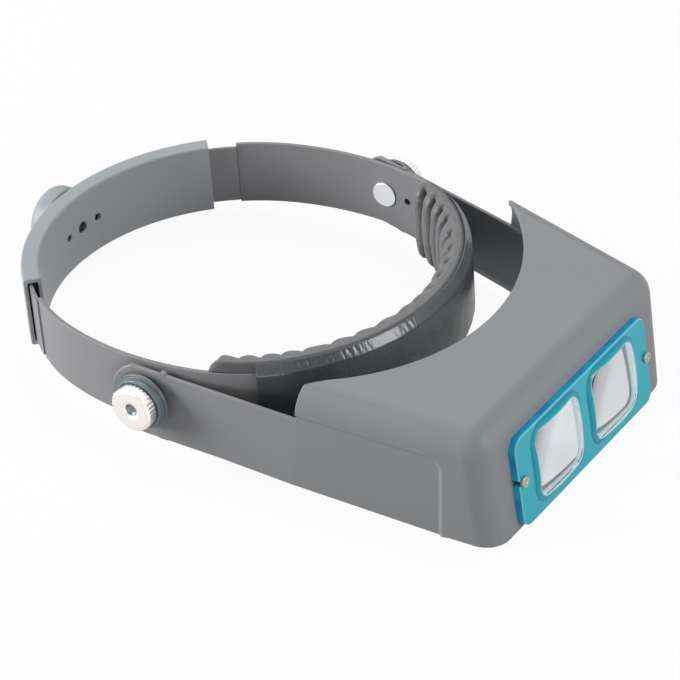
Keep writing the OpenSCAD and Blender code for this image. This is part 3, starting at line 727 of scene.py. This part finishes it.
@dataclass(frozen=True)
class Frame:
    """The rigid grey mouldings, each a merged copy of its CAD node with rounded edges. The strip
    keeps all its triangles, because larger faces show dark wedges beside the bolts."""

    nub: tuple[float, float] = (6.9, 10.9)

    def build(self) -> None:
        """Builds the strip, the visor, the housing and the knob."""
        rigid = (
            ("head_strip", "Strip", Look.STRIP, Body.HEADBAND, 0.2, 24.0, 0.0),
            ("visor_shell", "Visor", Look.VISOR, Body.VISOR, 0.5, 24.0, 0.3),
            ("rear_housing", "Housing", Look.HOUSING, Body.ADJUSTER, 0.3, 30.0, 0.3),
            ("ratchet_knob", "Knob", Look.HOUSING, Body.KNOB, 0.3, 24.0, 0.3),
        )
        for node, name, look, body, width, crease, plane in rigid:
            piece = merged_copy(node, name, crease, plane)
            if body is Body.VISOR:
                spare_edges(piece, crease, *self.nub)
            round_edges(piece, width, crease, marked=body is Body.VISOR)
            dress(piece, look, body, Slot.GREY, node)


@dataclass(frozen=True)
class Tails:
    """The two racks that run from the strip into the housing and bend as the loop is let out."""

    start: tuple[float, float, float] = (0.0, 62.0, 0.0)
    end: tuple[float, float, float] = (0.0, 88.0, 0.0)

    def build(self) -> None:
        """Builds both tails, each a merged copy of its CAD node."""
        for side in Side:
            name = side.name.lower()
            piece = merged_copy(f"strip_tail_{name}", f"Tail_{name}", 24.0)
            piece.data.materials.append(Look.STRIP.material())
            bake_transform(piece)
            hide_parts(f"strip_tail_{name}")
            LOG.info("%s: %d faces, blended", piece.name, len(piece.data.polygons))


def even_section(keys: Array, count: int, soften: float) -> Array:
    """Spreads points evenly along a closed outline, with its corners rounded.

    Args:
        keys: The outline's corners, [inward, height].
        count: How many points to make.
        soften: The corners' rounding, in millimetres.

    Returns:
        The points, the first of them at the first corner.
    """
    closed = np.concatenate([keys, keys[:1]])
    steps = np.concatenate([[0], np.cumsum(np.linalg.norm(np.diff(closed, axis=0), axis=1))])
    fine = np.linspace(0, steps[-1], 20 * count, endpoint=False)
    drawn = np.stack([np.interp(fine, steps, closed[:, k]) for k in (0, 1)], axis=-1)
    reach = np.minimum(fine, steps[-1] - fine)
    weight = np.exp(-((reach / soften) ** 2))
    blur = np.fft.rfft(weight / weight.sum())[:, None]
    return np.fft.irfft(np.fft.rfft(drawn, axis=0) * blur, len(fine), axis=0)[::20]


def section_normals(section: Array) -> Array:
    """The outward unit normals of a closed outline that runs from inside over the top."""
    tangent = np.roll(section, -1, axis=0) - np.roll(section, 1, axis=0)
    normal = np.stack([tangent[:, 1], -tangent[:, 0]], axis=-1)
    return normal / np.linalg.norm(normal, axis=1)[:, None]


@dataclass(frozen=True)
class Swelling:
    """How the foam fills its cover: a short cloth simulation with pressure from inside."""

    pressure: float = 6.0
    stretch: float = 12.0
    shrink: float = -0.025
    frames: int = 14
    cap: float = 1.1
    scale: float = 100.0
    levels: int = 5

    def run(self, points: Array, held: Array) -> Array:
        """Swells a skin and says how each of its points moved.

        Every second row and column is simulated, at 100 times the size, because Blender's cloth
        is meant for sizes of metres. The moves are capped, and spread over the points between.

        Args:
            points: Rows by columns of points in metres.
            held: How firmly each point is held, from 0 to 1.

        Returns:
            Rows by columns of moves in metres.
        """
        coarse, pins = points[::2, ::2], held[::2, ::2].ravel()
        piece = skin("Swelling", coarse * self.scale, ring=False, flip=False)
        group = piece.vertex_groups.new(name="held")
        for level in range(1, self.levels + 1):
            chosen = np.nonzero(np.round(pins * self.levels) == level)[0]
            group.add(chosen.tolist(), level / self.levels, "REPLACE")
        cloth = piece.modifiers.new("Cloth", "CLOTH")
        settings = {
            "vertex_group_mass": "held",
            "quality": 4,
            "mass": 0.25,
            "tension_stiffness": self.stretch,
            "compression_stiffness": self.stretch,
            "bending_stiffness": 0.4,
            "shrink_min": self.shrink,
            "use_pressure": True,
            "uniform_pressure_force": self.pressure,
        }
        for name, value in settings.items():
            setattr(cloth.settings, name, value)
        cloth.settings.effector_weights.gravity = 0.0
        cloth.collision_settings.use_collision = False
        cloth.point_cache.frame_start, cloth.point_cache.frame_end = 1, self.frames
        scene = bpy.context.scene
        for step in range(1, self.frames + 1):
            scene.frame_set(step)
        swollen = piece.evaluated_get(bpy.context.evaluated_depsgraph_get()).data
        moved = read(swollen.vertices, "co", 3).reshape(coarse.shape).astype(float)
        moved = moved / self.scale - coarse
        scene.frame_set(1)
        bpy.data.objects.remove(piece, do_unlink=True)
        size = np.linalg.norm(moved, axis=-1, keepdims=True) + 1e-12
        moved *= np.minimum(1.0, self.cap * MM / size)
        LOG.info("Swelling: moved by %.2f mm at most", size.max() / MM)
        wide = np.repeat(moved, 2, axis=1)
        wide[:, 1::2] = (moved + np.roll(moved, -1, axis=1)) / 2
        tall = np.repeat(wide, 2, axis=0)[: len(points)]
        tall[1::2] = (wide[:-1] + wide[1:]) / 2
        return tall


@dataclass(frozen=True)
class ForeheadCushion:
    """The gathered cushion: foam in leatherette, pleated down its inner face, with a smooth ledge
    along its top and bottom, and a plain dark back that laps over the strip's edges."""

    end_turn: float = 71.0
    back: float = 0.9
    strip_top: float = 13.95
    pleats: int = 19
    lean: float = 0.1
    corner: tuple[float, float] = (8.0, 16.0)
    seam: tuple[float, float] = (2.9, 17.2)
    soften: float = 0.35
    rows: int = 561
    columns: int = 160
    swelling: Swelling = Swelling()

    def section(self) -> Array:
        """The plain section, from the middle of the inner face over the top to the back and up
        again, [inward, height]. The dark cover starts at the seam, 2.9 mm inward."""
        face = [[9.5, 0.0], [9.5, 6.0], [9.3, 11.0], [8.9, 14.0], list(self.corner)]
        ledge = [[6.4, 17.0], [4.3, 17.15], list(self.seam)]
        back = [[1.4, 16.95], [0.95, 16.55], [0.1, 15.2], [-0.6, 14.0], [0.75, 13.95]]
        upper = np.array([*face, *ledge, *back, [self.back, 13.6]])
        keys = np.concatenate([upper, (upper[1:] * [1, -1])[::-1]])
        return even_section(keys, self.columns, self.soften)

    def from_corner(self, section: Array) -> tuple[Array, float]:
        """Measures along the section from its corner, where the ledge turns down into the inner
        face: positive over the ledge, negative down the face.

        Returns:
            The distance of each point of the section, and that of the seam.
        """
        steps = np.linalg.norm(np.diff(section, axis=0, append=section[:1]), axis=1)
        run = np.concatenate([[0], np.cumsum(steps)[:-1]])
        run = np.minimum(run, steps.sum() - run)
        upper = section[: self.columns // 2]
        corner, seam = (
            np.argmin(np.hypot(upper[:, 0] - inward, upper[:, 1] - height))
            for inward, height in (self.corner, self.seam)
        )
        return run - run[corner], float(run[seam] - run[corner])

    def pleated(self, turn: Array, past: Array, seam: float) -> tuple[Array, Array]:
        """How far the cover stands off the plain section, and how deep in a fold it lies.

        The pleats are counted along the cushion, leaning over the ledge. Beside a fold the cover
        swells like 1 less the square of the share of the way back to the fold. The fold is a
        deep pit at the corner, a long crease down the face with a thin ridge beside it, and
        fades over the ledge.

        Args:
            turn: The rows' turns, in degrees.
            past: The columns' distances past the corner.
            seam: The seam's distance past the corner.

        Returns:
            The rise in millimetres, and the depth in a fold from 0 to 1.
        """
        ledge, face = np.maximum(past, 0.0), np.maximum(-past, 0.0)
        count = self.pleats * (turn / self.end_turn + 1.0) / 2.0
        count = count + 0.12 * wander(0.9 * count, 2.0)
        phase = count - self.lean * ledge + 0.006 * face * wander(1.3 * count, 5.0)
        nearest = np.round(phase)
        beside = phase - nearest
        uneven = 1.0 + 0.3 * wander(2.1 * nearest, 9.0)
        hollow = (1.0 - 2.0 * np.abs(beside)) ** 2.4
        corner = np.exp(-((past / 2.3) ** 2))
        down = ease(face / 2.5)
        middle = 1.0 - 0.35 * ease((face - 6.0) / 8.0)
        over = np.exp(-ledge / 3.6) * (past > 0)
        pit = np.exp(-((beside / 0.14) ** 2)) * np.exp(-(((past + 0.4) / 1.7) ** 2))
        crease = np.exp(-(((beside + 0.03) / 0.16) ** 2)) * down * middle
        ridge = np.exp(-(((beside - 0.2) / 0.075) ** 2)) * (down * middle + 0.55 * over)
        second = np.exp(-(((beside - 0.42 - 0.03 * np.sin(nearest)) / 0.05) ** 2))
        rise = (
            -1.9 * uneven * pit
            - 1.35 * hollow * corner
            - uneven * (1.25 * crease + 1.05 * hollow * over)
            + 0.65 * ridge
            + 0.25 * second * (down + 0.6 * over)
            + 0.10 * wander(2.3 * phase + 0.25 * past, 4.0)
        )
        free = ease((seam - past) / 1.6)
        groove = 0.3 * np.exp(-(((past - seam) / 0.35) ** 2))
        depth = np.clip(pit + 0.75 * crease + 0.5 * hollow * corner, 0, 1) * free
        return rise * free - groove, depth

    def surface(self) -> tuple[Array, Array, Array, Array]:
        """Works out the cushion's skin, with its ends drawn in on a quarter circle.

        Returns:
            The points in metres, the UV pairs, how deep in a fold each point lies, and which
            columns are the dark cover.
        """
        section = self.section()
        normal = section_normals(section)
        past, seam = self.from_corner(section)
        turn = np.linspace(-self.end_turn, self.end_turn, self.rows)[:, None]
        past_end = np.maximum(0, np.abs(turn) - self.end_turn + 5) / 5.2
        full = np.sqrt(np.clip(1 - past_end**2, 0, 1))
        rise, fold = self.pleated(turn, past[None, :], seam)
        away = section[:, 0] + normal[:, 0] * rise
        tall = section[:, 1] + normal[:, 1] * rise
        over_strip = (section[:, 0] < self.back) & (np.abs(section[:, 1]) > self.strip_top - 0.15)
        lapped = np.sign(section[:, 1]) * (self.strip_top + (np.abs(tall) - self.strip_top) * full)
        tall = np.where(over_strip, lapped, tall * (0.8 + 0.2 * full))
        away = np.where(away > self.back, self.back + (away - self.back) * full, away)
        points = REST.strip(LOOP.place(np.broadcast_to(turn, away.shape), away, tall))
        held = np.clip(0.25 + fold + ease((past - seam + 2.0) / 1.5)[None, :], 0, 1)
        held = np.maximum(held, ease((np.abs(turn) - self.end_turn + 3) / 2))
        points = points + self.swelling.run(points, held)
        along = np.broadcast_to(LOOP.run(turn) * MM, away.shape)
        round_way = np.broadcast_to(past * MM, away.shape)
        return points, np.stack([along, round_way], axis=-1), fold, past > seam

    def build(self) -> None:
        """Builds the cushion and dresses its inside in grey and its back in slate."""
        points, uv, fold, dark = self.surface()
        piece = skin("Cushion", points, ring=False, flip=False, uv=uv)
        # The fold depth drives the painted shade in the leatherette's colour.
        mark(piece, "fold", np.clip(fold, 0, 1))
        dress(piece, Look.CUSHION, Body.HEADBAND, Slot.LEATHERETTE, "forehead_cushion")
        piece.data.materials.append(Look.BACKING.material())
        covers = np.zeros(len(piece.data.polygons), np.int32)
        covers[: (self.rows - 1) * self.columns] = np.tile(dark.astype(np.int32), self.rows - 1)
        piece.data.polygons.foreach_set("material_index", covers)


@dataclass(frozen=True)
class CushionSleeve:
    """The vinyl sleeve round the strip, creased at the strip's edges and drawn in from there to
    the seam with the leatherette."""

    end_turn: float = 56.0
    outside: float = -2.0
    inside: float = -0.9
    crease_height: float = 13.3
    top: float = 17.15
    uv_span: float = 86.0
    soften: float = 0.12
    rows: int = 601
    columns: int = 164

    def section(self) -> Array:
        """The section, [inward, height], from the lip down the inside, up the outside and over
        the slanting band to the lip again."""
        lip = [[0.62, self.top], [0.86, 17.05], [0.95, 16.8], [0.75, 16.35]]
        inner = np.array([*lip, [-0.2, 14.9], [-0.85, 13.85], [self.inside, 13.4]])
        band = [[-0.85, 15.0], [0.0, 16.35], [0.3, 16.9], [0.42, 17.1]]
        outer = np.array([[self.outside, 12.9], [-1.94, self.crease_height], *band])
        low = [1, -1]
        keys = np.concatenate([inner, (inner * low)[::-1], (outer * low)[::-1], outer])
        return even_section(keys[::-1], self.columns, self.soften)

    def build(self) -> None:
        """Builds the sleeve.

        Each point of the section is moved along its normal: by wrinkles across the slanting
        band, in patches where the sheet is pushed together by the bend of the head loop, and by
        long faint waves up the outer wall.
        """
        section = self.section()
        normal = section_normals(section)
        turn = np.linspace(-self.end_turn, self.end_turn, self.rows)[:, None]
        run = LOOP.run(turn)
        inward, height = section[:, 0][None, :], np.abs(section[:, 1])[None, :]
        outer = (normal[:, 0] < 0)[None, :] & (height < self.top)
        band = ease((height - self.crease_height) / 0.8) * ease((self.top - 0.3 - height) / 0.7)
        wall = height < self.crease_height
        band = band + 0.5 * ease((height - self.crease_height + 2.5) / 2.0) * wall
        patch = ease(0.62 * wander(run / 17.0, 3.0) + 0.6)
        patch = patch * ease((28.0 - np.abs(turn + 31.0)) / 6.0 + 0.45)
        beat = run / 2.7 + 0.5 * wander(run / 7.0, 7.0)
        sharp = 1 - np.abs(np.sin(np.pi * (beat + 0.12 * (height - 15.0)))) ** 0.7
        minor = 1 - np.abs(np.sin(np.pi * (1.9 * beat - 0.1 * (height - 15.0)))) ** 0.6
        depth = 0.3 * sharp * (0.5 + 0.5 * wander(run / 3.3, 12.0)) + 0.08 * minor
        waves = 0.06 * wander(run / 6.0 + 0.05 * height, 11.0) * wall
        moved = np.where(outer, waves - band * patch * depth, 0.0)
        moved = moved * ease((self.end_turn - np.abs(turn)) / 0.5)
        away = inward + moved * normal[:, 0][None, :]
        tall = section[:, 1][None, :] + moved * normal[:, 1][None, :]
        points = REST.strip(LOOP.place(np.broadcast_to(turn, away.shape), away, tall))
        around = np.linspace(0, self.uv_span * MM, len(section))[None, :]
        around = np.broadcast_to(around, away.shape)
        uv = np.stack([np.broadcast_to(run * MM, away.shape), around], axis=-1)
        piece = skin("Sleeve", points, ring=False, flip=False, uv=uv)
        dress(piece, Look.SLEEVE, Body.HEADBAND, Slot.VINYL, "cushion_sleeve")


@dataclass(frozen=True)
class Pivots:
    """The two side pivots: bolt, spacer, friction washer and ribbed thumb nut."""

    nut_x: float = 90.2018
    nut_out_x: float = 94.9018
    nut_d: float = 18.0
    ribs: int = 32
    bore: float = 5.16

    def nut_profile(self) -> Array:
        """The nut's half section, [distance along the axis, radius, share of the ribs], in order
        round the ring: the back, the rim, the flat face, the dish and the bore."""
        back, front, r = self.nut_x - 0.4, self.nut_out_x, self.nut_d / 2
        rear = [[back, self.bore / 2, 0], [back, r - 1.1, 0], [back + 0.15, r - 0.75, 0.15]]
        ribbed = [[back + 0.6, r - 0.45, 1], [(back + front) / 2, r - 0.4, 1]]
        ribbed += [[front - 0.75, r - 0.45, 1], [front - 0.3, r - 0.75, 0.3]]
        face = [[front - 0.05, r - 1.15, 0], [front, r - 1.6, 0], [front, 4.0, 0]]
        dish = [[front - 0.08, 3.6, 0], [front - 0.6, 2.75, 0], [front - 0.7, self.bore / 2, 0]]
        keys = np.array(rear + ribbed + face + dish)
        steps = np.arange(len(keys))
        fine = np.linspace(0, len(keys) - 1, 6 * (len(keys) - 1) + 1)
        return np.stack([np.interp(fine, steps, keys[:, k]) for k in range(3)], axis=-1)

    def nut(self, side: Side) -> Array:
        """The nut's skin: the half section turned about the pivot axis, where the radius swells
        over each rib with a rectified cosine."""
        profile = self.nut_profile()
        angle = np.linspace(0, 2 * np.pi, self.ribs * 12, endpoint=False)
        uneven = 0.06 * wander(7.0 * np.sin(angle), 2.0)
        rib = 0.26 * np.abs(np.cos(self.ribs / 2 * angle)) + uneven + 0.12
        radius = profile[:, 1, None] + profile[:, 2, None] * rib[None, :]
        x = np.broadcast_to(side.value * profile[:, 0, None], radius.shape)
        ring = [x, radius * np.cos(angle)[None, :], radius * np.sin(angle)[None, :]]
        return REST.strip(np.stack(ring, axis=-1))

    def sink_end(self, bolt: Object) -> None:
        """Sinks a socket 1 mm deep into the bolt's outer end, inside a wall of 0.8 mm."""
        with reworked(bolt.data) as work:
            ends = [f for f in work.faces if abs(f.normal.x) > 0.9 and f.calc_area() > 4 * MM**2]
            end = max(ends, key=lambda f: abs(f.calc_center_median().x))
            bmesh.ops.inset_region(work, faces=[end], thickness=0.8 * MM, depth=-1.0 * MM)
        bolt.data.shade_smooth()
        bolt.data.set_sharp_from_angle(angle=math.radians(30))

    def build(self) -> None:
        """Builds both pivots. The bolt's end that shows in the nut is painted a darker grey, as
        painted shade.
        """
        parts = (
            ("pivot_bolt", "Bolt", Look.BOLT, Body.HEADBAND, Slot.NICKEL, 0.25),
            ("strip_spacer", "Spacer", Look.WASHER, Body.HEADBAND, Slot.SLATE, 0.1),
            ("friction_washer", "Washer", Look.WASHER, Body.VISOR, Slot.SLATE, 0.25),
        )
        for side in Side:
            name = side.name.lower()
            nut = skin(f"Thumb_nut_{name}", self.nut(side), ring=True, flip=side is Side.LEFT)
            nut.data.set_sharp_from_angle(angle=math.radians(50))
            body = Body[f"{side.name}_NUT"]
            dress(nut, Look.NICKEL, body, Slot.NICKEL, f"thumb_nut_{name}")
            for node, label, look, body, slot, width in parts:
                piece = merged_copy(f"{node}_{name}", f"{label}_{name}", 30.0)
                round_edges(piece, width, 35.0)
                if look is Look.BOLT:
                    self.sink_end(piece)
                dress(piece, look, body, slot, f"{node}_{name}")
                if look is Look.BOLT:
                    # Painted shade: the bolt's end inside the nut gets the darker grey.
                    piece.data.materials.append(Look.BOLT_END.material())
                    faces = piece.data.polygons
                    outer = np.abs(read(faces, "center", 3)[:, 0]) > self.nut_x * MM
                    faces.foreach_set("material_index", outer.astype(np.int32))


@dataclass(frozen=True)
class LensPlate:
    """The blue plate, its two lenses and its two screws."""

    thick: float = 3.0
    window_x: float = 20.3
    window_z: float = 1.2
    half_w: float = 15.2
    half_h: float = 14.2
    corner: float = 5.0
    crest_radius: float = 88.0
    crest_middle: float = 5.85
    front_radius: float = 210.0
    front_middle: float = 4.4
    rear_radius: float = 300.0
    rear_middle: float = 2.1

    def outline(self, out: float) -> Array:
        """A window's outline, moved outwards, as [x, z] about the window's middle.

        It is a rectangle with quarter circles at its corners. Every point keeps its place along
        the outline whatever the move, so outlines with different moves can be joined.

        Args:
            out: The move, in millimetres.

        Returns:
            208 pairs, counter-clockwise from the right.
        """
        middles, headings = [], []
        for k in range(4):
            quarter = np.radians(np.linspace(90 * k, 90 * k + 90, 32))
            heading = np.stack([np.cos(quarter), np.sin(quarter)], axis=-1)
            signs = np.array([(1, 1), (-1, 1), (-1, -1), (1, -1)], float)
            place = np.array([self.half_w, self.half_h]) - self.corner
            here, ahead = signs[k] * place, signs[(k + 1) % 4] * place
            step = np.linspace(0, 1, 22)[1:-1, None]
            middles += [np.broadcast_to(here, heading.shape), here * (1 - step) + ahead * step]
            headings += [heading, np.broadcast_to(heading[-1], (20, 2))]
        return np.concatenate(middles) + (self.corner + out) * np.concatenate(headings)

    def dome(self, flat: Array, middle: float, radius: float) -> Array:
        """How far a shallow dome stands before the back of the plate: the height of its middle,
        less the distance from the middle squared over twice the radius."""
        return middle - (flat**2).sum(axis=-1) / (2 * radius)

    def rim(self, side: Side) -> tuple[Array, Array]:
        """One window's raised rim, whose crest is highest at the middle of each side.

        Returns:
            The points, along the outline by round the rim, and each point's band of colour, from
            0 at the wall inside over 0.5 on the slope to 1 at the foot.
        """
        crest = self.dome(self.outline(0.0), self.crest_middle, self.crest_radius)
        keys = (
            (-0.02, 0.0, 0.1, 0.0),
            (-0.02, 1.0, -0.5, 0.05),
            (0.05, 1.0, -0.16, 0.15),
            (0.24, 1.0, 0.0, 0.25),
            (0.55, 1.0, -0.03, 0.3),
            (0.85, 1.0, -0.3, 0.45),
            (1.15, 1.0, -0.75, 0.55),
            (1.75, 0.45, 1.72, 0.75),
            (2.35, 0.1, 2.76, 0.9),
            (2.75, 0.0, 3.03, 1.0),
            (3.05, 0.0, 2.96, 1.0),
            (2.9, 0.0, 2.5, 1.0),
            (0.6, 0.0, 0.1, 0.0),
        )
        rows = []
        for out, share, lift, _ in keys:
            flat = self.outline(out)
            rows.append(np.stack([flat[:, 0], -(share * crest + lift), flat[:, 1]], axis=-1))
        middle = np.array([side.value * self.window_x, 0.0, self.window_z])
        points = REST.plate(np.stack(rows, axis=1) + middle)
        return points, np.broadcast_to([key[3] for key in keys], points.shape[:2])

    def flattened(self) -> Object:
        """Copies the plate, with its plain rims pressed flat into its face."""
        plate = merged_copy("lens_frame", "Lens_plate", 24.0)
        points = read(plate.data.vertices, "co", 3).astype(float) / MM
        moved = points - np.array([0.0, REST.rest_y, REST.rest_z])
        hung = turn_x(turn_x(moved, REST.tilt), -REST.drop)
        flat = turn_x(hung - np.array([0.0, -REST.plate_y, REST.plate_z]), REST.lean)
        flat[:, 1] = np.maximum(flat[:, 1], -self.thick)
        plate.data.vertices.foreach_set("co", REST.plate(flat).astype(np.float32).ravel())
        return plate

    def lens(self, side: Side) -> Array:
        """The lens's skin, from the middle of its front face over the edge to the middle of its
        back face. Each ring is the window's outline drawn in by the ring's share, and both faces
        are shallow domes, the front one the steeper."""
        share = np.sin(np.linspace(0.01, np.pi / 2, 26))
        flat = share[:, None, None] * self.outline(-0.06)[None, :, :]
        front, back = (
            np.stack([flat[..., 0], -self.dome(flat, middle, radius), flat[..., 1]], axis=-1)
            for middle, radius in (
                (self.front_middle, self.front_radius),
                (self.rear_middle, -self.rear_radius),
            )
        )
        middle = np.array([side.value * self.window_x, 0.0, self.window_z])
        return REST.plate(np.concatenate([front, back[::-1]]) + middle)

    def build(self) -> None:
        """Builds the plate, the rims, the lenses and the screws."""
        plate = self.flattened()
        round_edges(plate, 0.2, 28.0, clamp=True)
        dress(plate, Look.BLUE, Body.VISOR, Slot.BLUE, "lens_frame")
        for side in Side:
            name = side.name.lower()
            points, band = self.rim(side)
            rim = skin(f"Lens_rim_{name}", points, ring=True, flip=False)
            mark(rim, "band", band)
            dress(rim, Look.RIM, Body.VISOR, Slot.BLUE)
            lens = skin(f"Lens_{name}", self.lens(side), ring=False, flip=True)
            lens.data.set_sharp_from_angle(angle=math.radians(40))
            dress(lens, Look.LENS, Body.VISOR, Slot.LENS, f"lens_{name}")
            screw = merged_copy(f"plate_screw_{name}", f"Plate_screw_{name}", 30.0)
            round_edges(screw, 0.2, 40.0)
            dress(screw, Look.SCREW, Body.VISOR, Slot.NICKEL, f"plate_screw_{name}")


@dataclass(frozen=True)
class AdjusterInside:
    """The small parts of the adjuster, which keep their CAD shapes."""

    def build(self) -> None:
        """Gives the shaft, the pinion, its screw and the detent spring their finishes."""
        looks = {
            "knob_shaft": Look.STEEL,
            "pinion_screw": Look.BLACK,
            "detent_spring": Look.STEEL,
            "pinion_gear": Look.WASHER,
        }
        for node, look in looks.items():
            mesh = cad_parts[node].data
            mesh.materials.clear()
            mesh.materials.append(look.material())
            LOG.info("%s: %s", node, look.value.name)


def hang(name: str, data: Any, axes: Array, place: Array) -> Object:
    """Puts a camera or a lamp in the scene. The rows of its axes are its right, up and back."""
    world = np.eye(4)
    world[:3, :3], world[:3, 3] = axes.T, place
    made = bpy.data.objects.new(name, data)
    made.matrix_world = Matrix(world.tolist())
    bpy.context.scene.collection.objects.link(made)
    return made


@dataclass(frozen=True)
class Studio:
    """A white sweep with soft lamps, and the camera at the photograph's view."""

    azimuth: float = -53.97
    elevation: float = 33.83
    roll: float = -4.37
    focal: float = 3105.5
    across: float = 25.30
    above: float = -20.48
    distance: float = 1212.3
    frame_px: int = 680
    fill: float = 0.15
    sheen: float = 0.7
    reach: float = 3.0
    lamps: tuple[tuple[str, tuple[float, float, float], float, float], ...] = (
        ("Top_lamp", (0.6, 0.3, 1.1), 0.9, 6.3),
        ("Key_lamp", (-0.8, 1.05, 0.42), 0.7, 19.0),
        ("Front_lamp", (0.17, -0.99, 0.5), 0.36, 4.7),
        ("Fill_lamp", (-0.9, -0.72, 0.1), 0.4, 2.6),
    )

    def camera(self) -> None:
        """Places the camera. Its axes are the view's right, up and back, found from the azimuth,
        elevation and roll in the strip frame, and the focal length is in pixels."""
        a, e, r = (math.radians(v) for v in (self.azimuth, self.elevation, self.roll))
        back = np.array([math.sin(a) * math.cos(e), -math.cos(a) * math.cos(e), math.sin(e)])
        right = np.array([math.cos(a), math.sin(a), 0.0])
        up = np.cross(back, right)
        c, s = math.cos(r), math.sin(r)
        axes = np.array([[c, s, 0], [-s, c, 0], [0, 0, 1]]) @ np.stack([right, up, back])
        centre = axes.T @ np.array([self.across, self.above, self.distance])
        data = bpy.data.cameras.new("Camera")
        data.sensor_width = 36.0
        data.lens = 36.0 * self.focal / self.frame_px
        data.clip_start, data.clip_end = 0.05, 20.0
        made = hang("Camera", data, turn_x(axes, -REST.tilt), REST.strip(centre))
        bpy.context.scene.camera = made

    def floor(self) -> None:
        """Lays the floor, a square of paper."""
        corners = np.array([[-1, -1, 0], [1, -1, 0], [1, 1, 0], [-1, 1, 0]]) * self.reach
        sweep = make_piece("Floor", corners.astype(float), [[0, 1, 2, 3]])
        sweep.data.materials.append(Look.PAPER.material())

    def sky(self) -> None:
        """Sets the world: plain white to the camera, a softer grey to reflections, and a faint
        even light."""
        world = bpy.data.worlds.new("Studio")
        world.use_nodes = True
        tree = world.node_tree
        tree.nodes.clear()
        ray = add_node(tree, "LightPath", {}).outputs
        straight = {0: ray["Is Camera Ray"], 1: ray["Is Transmission Ray"]}
        seen = add_node(tree, "Math", straight, operation="MAXIMUM")
        mirrored = {0: ray["Is Glossy Ray"], 1: self.sheen - self.fill, 2: self.fill}
        shine = add_node(tree, "Math", mirrored, operation="MULTIPLY_ADD")
        strength = add_node(tree, "Math", {0: seen, 1: shine}, operation="MAXIMUM")
        plain = add_node(tree, "Background", {"Color": WHITE, "Strength": strength})
        add_node(tree, "OutputWorld", {"Surface": plain})
        bpy.context.scene.world = world

    def lamp(self, name: str, place: Array, size: float, watts: float) -> None:
        """Hangs a square soft lamp that faces the part.

        Args:
            name: The lamp's name.
            place: Where it hangs, in metres.
            size: Its side, in metres.
            watts: Its power.
        """
        data = bpy.data.lights.new(name, "AREA")
        data.size, data.energy = size, watts
        back = place / np.linalg.norm(place)
        right = np.cross([0.0, 1.0, 0.01], back)
        right /= np.linalg.norm(right)
        hang(name, data, np.stack([right, np.cross(back, right), back]), place)

    def build(self) -> None:
        """Builds the whole setting."""
        self.camera()
        self.floor()
        self.sky()
        for name, place, size, watts in self.lamps:
            self.lamp(name, np.array(place), size, watts)
        bpy.context.scene.view_settings.view_transform = "Standard"


def main() -> None:
    """Builds the setting and every sub-assembly, in order."""
    logging.basicConfig(level=logging.INFO, format="%(message)s")
    soft = (ForeheadCushion, CushionSleeve)
    for kind in (Studio, Frame, Tails, *soft, Pivots, LensPlate, AdjusterInside):
        kind().build()


if __name__ == "__main__":
    main()
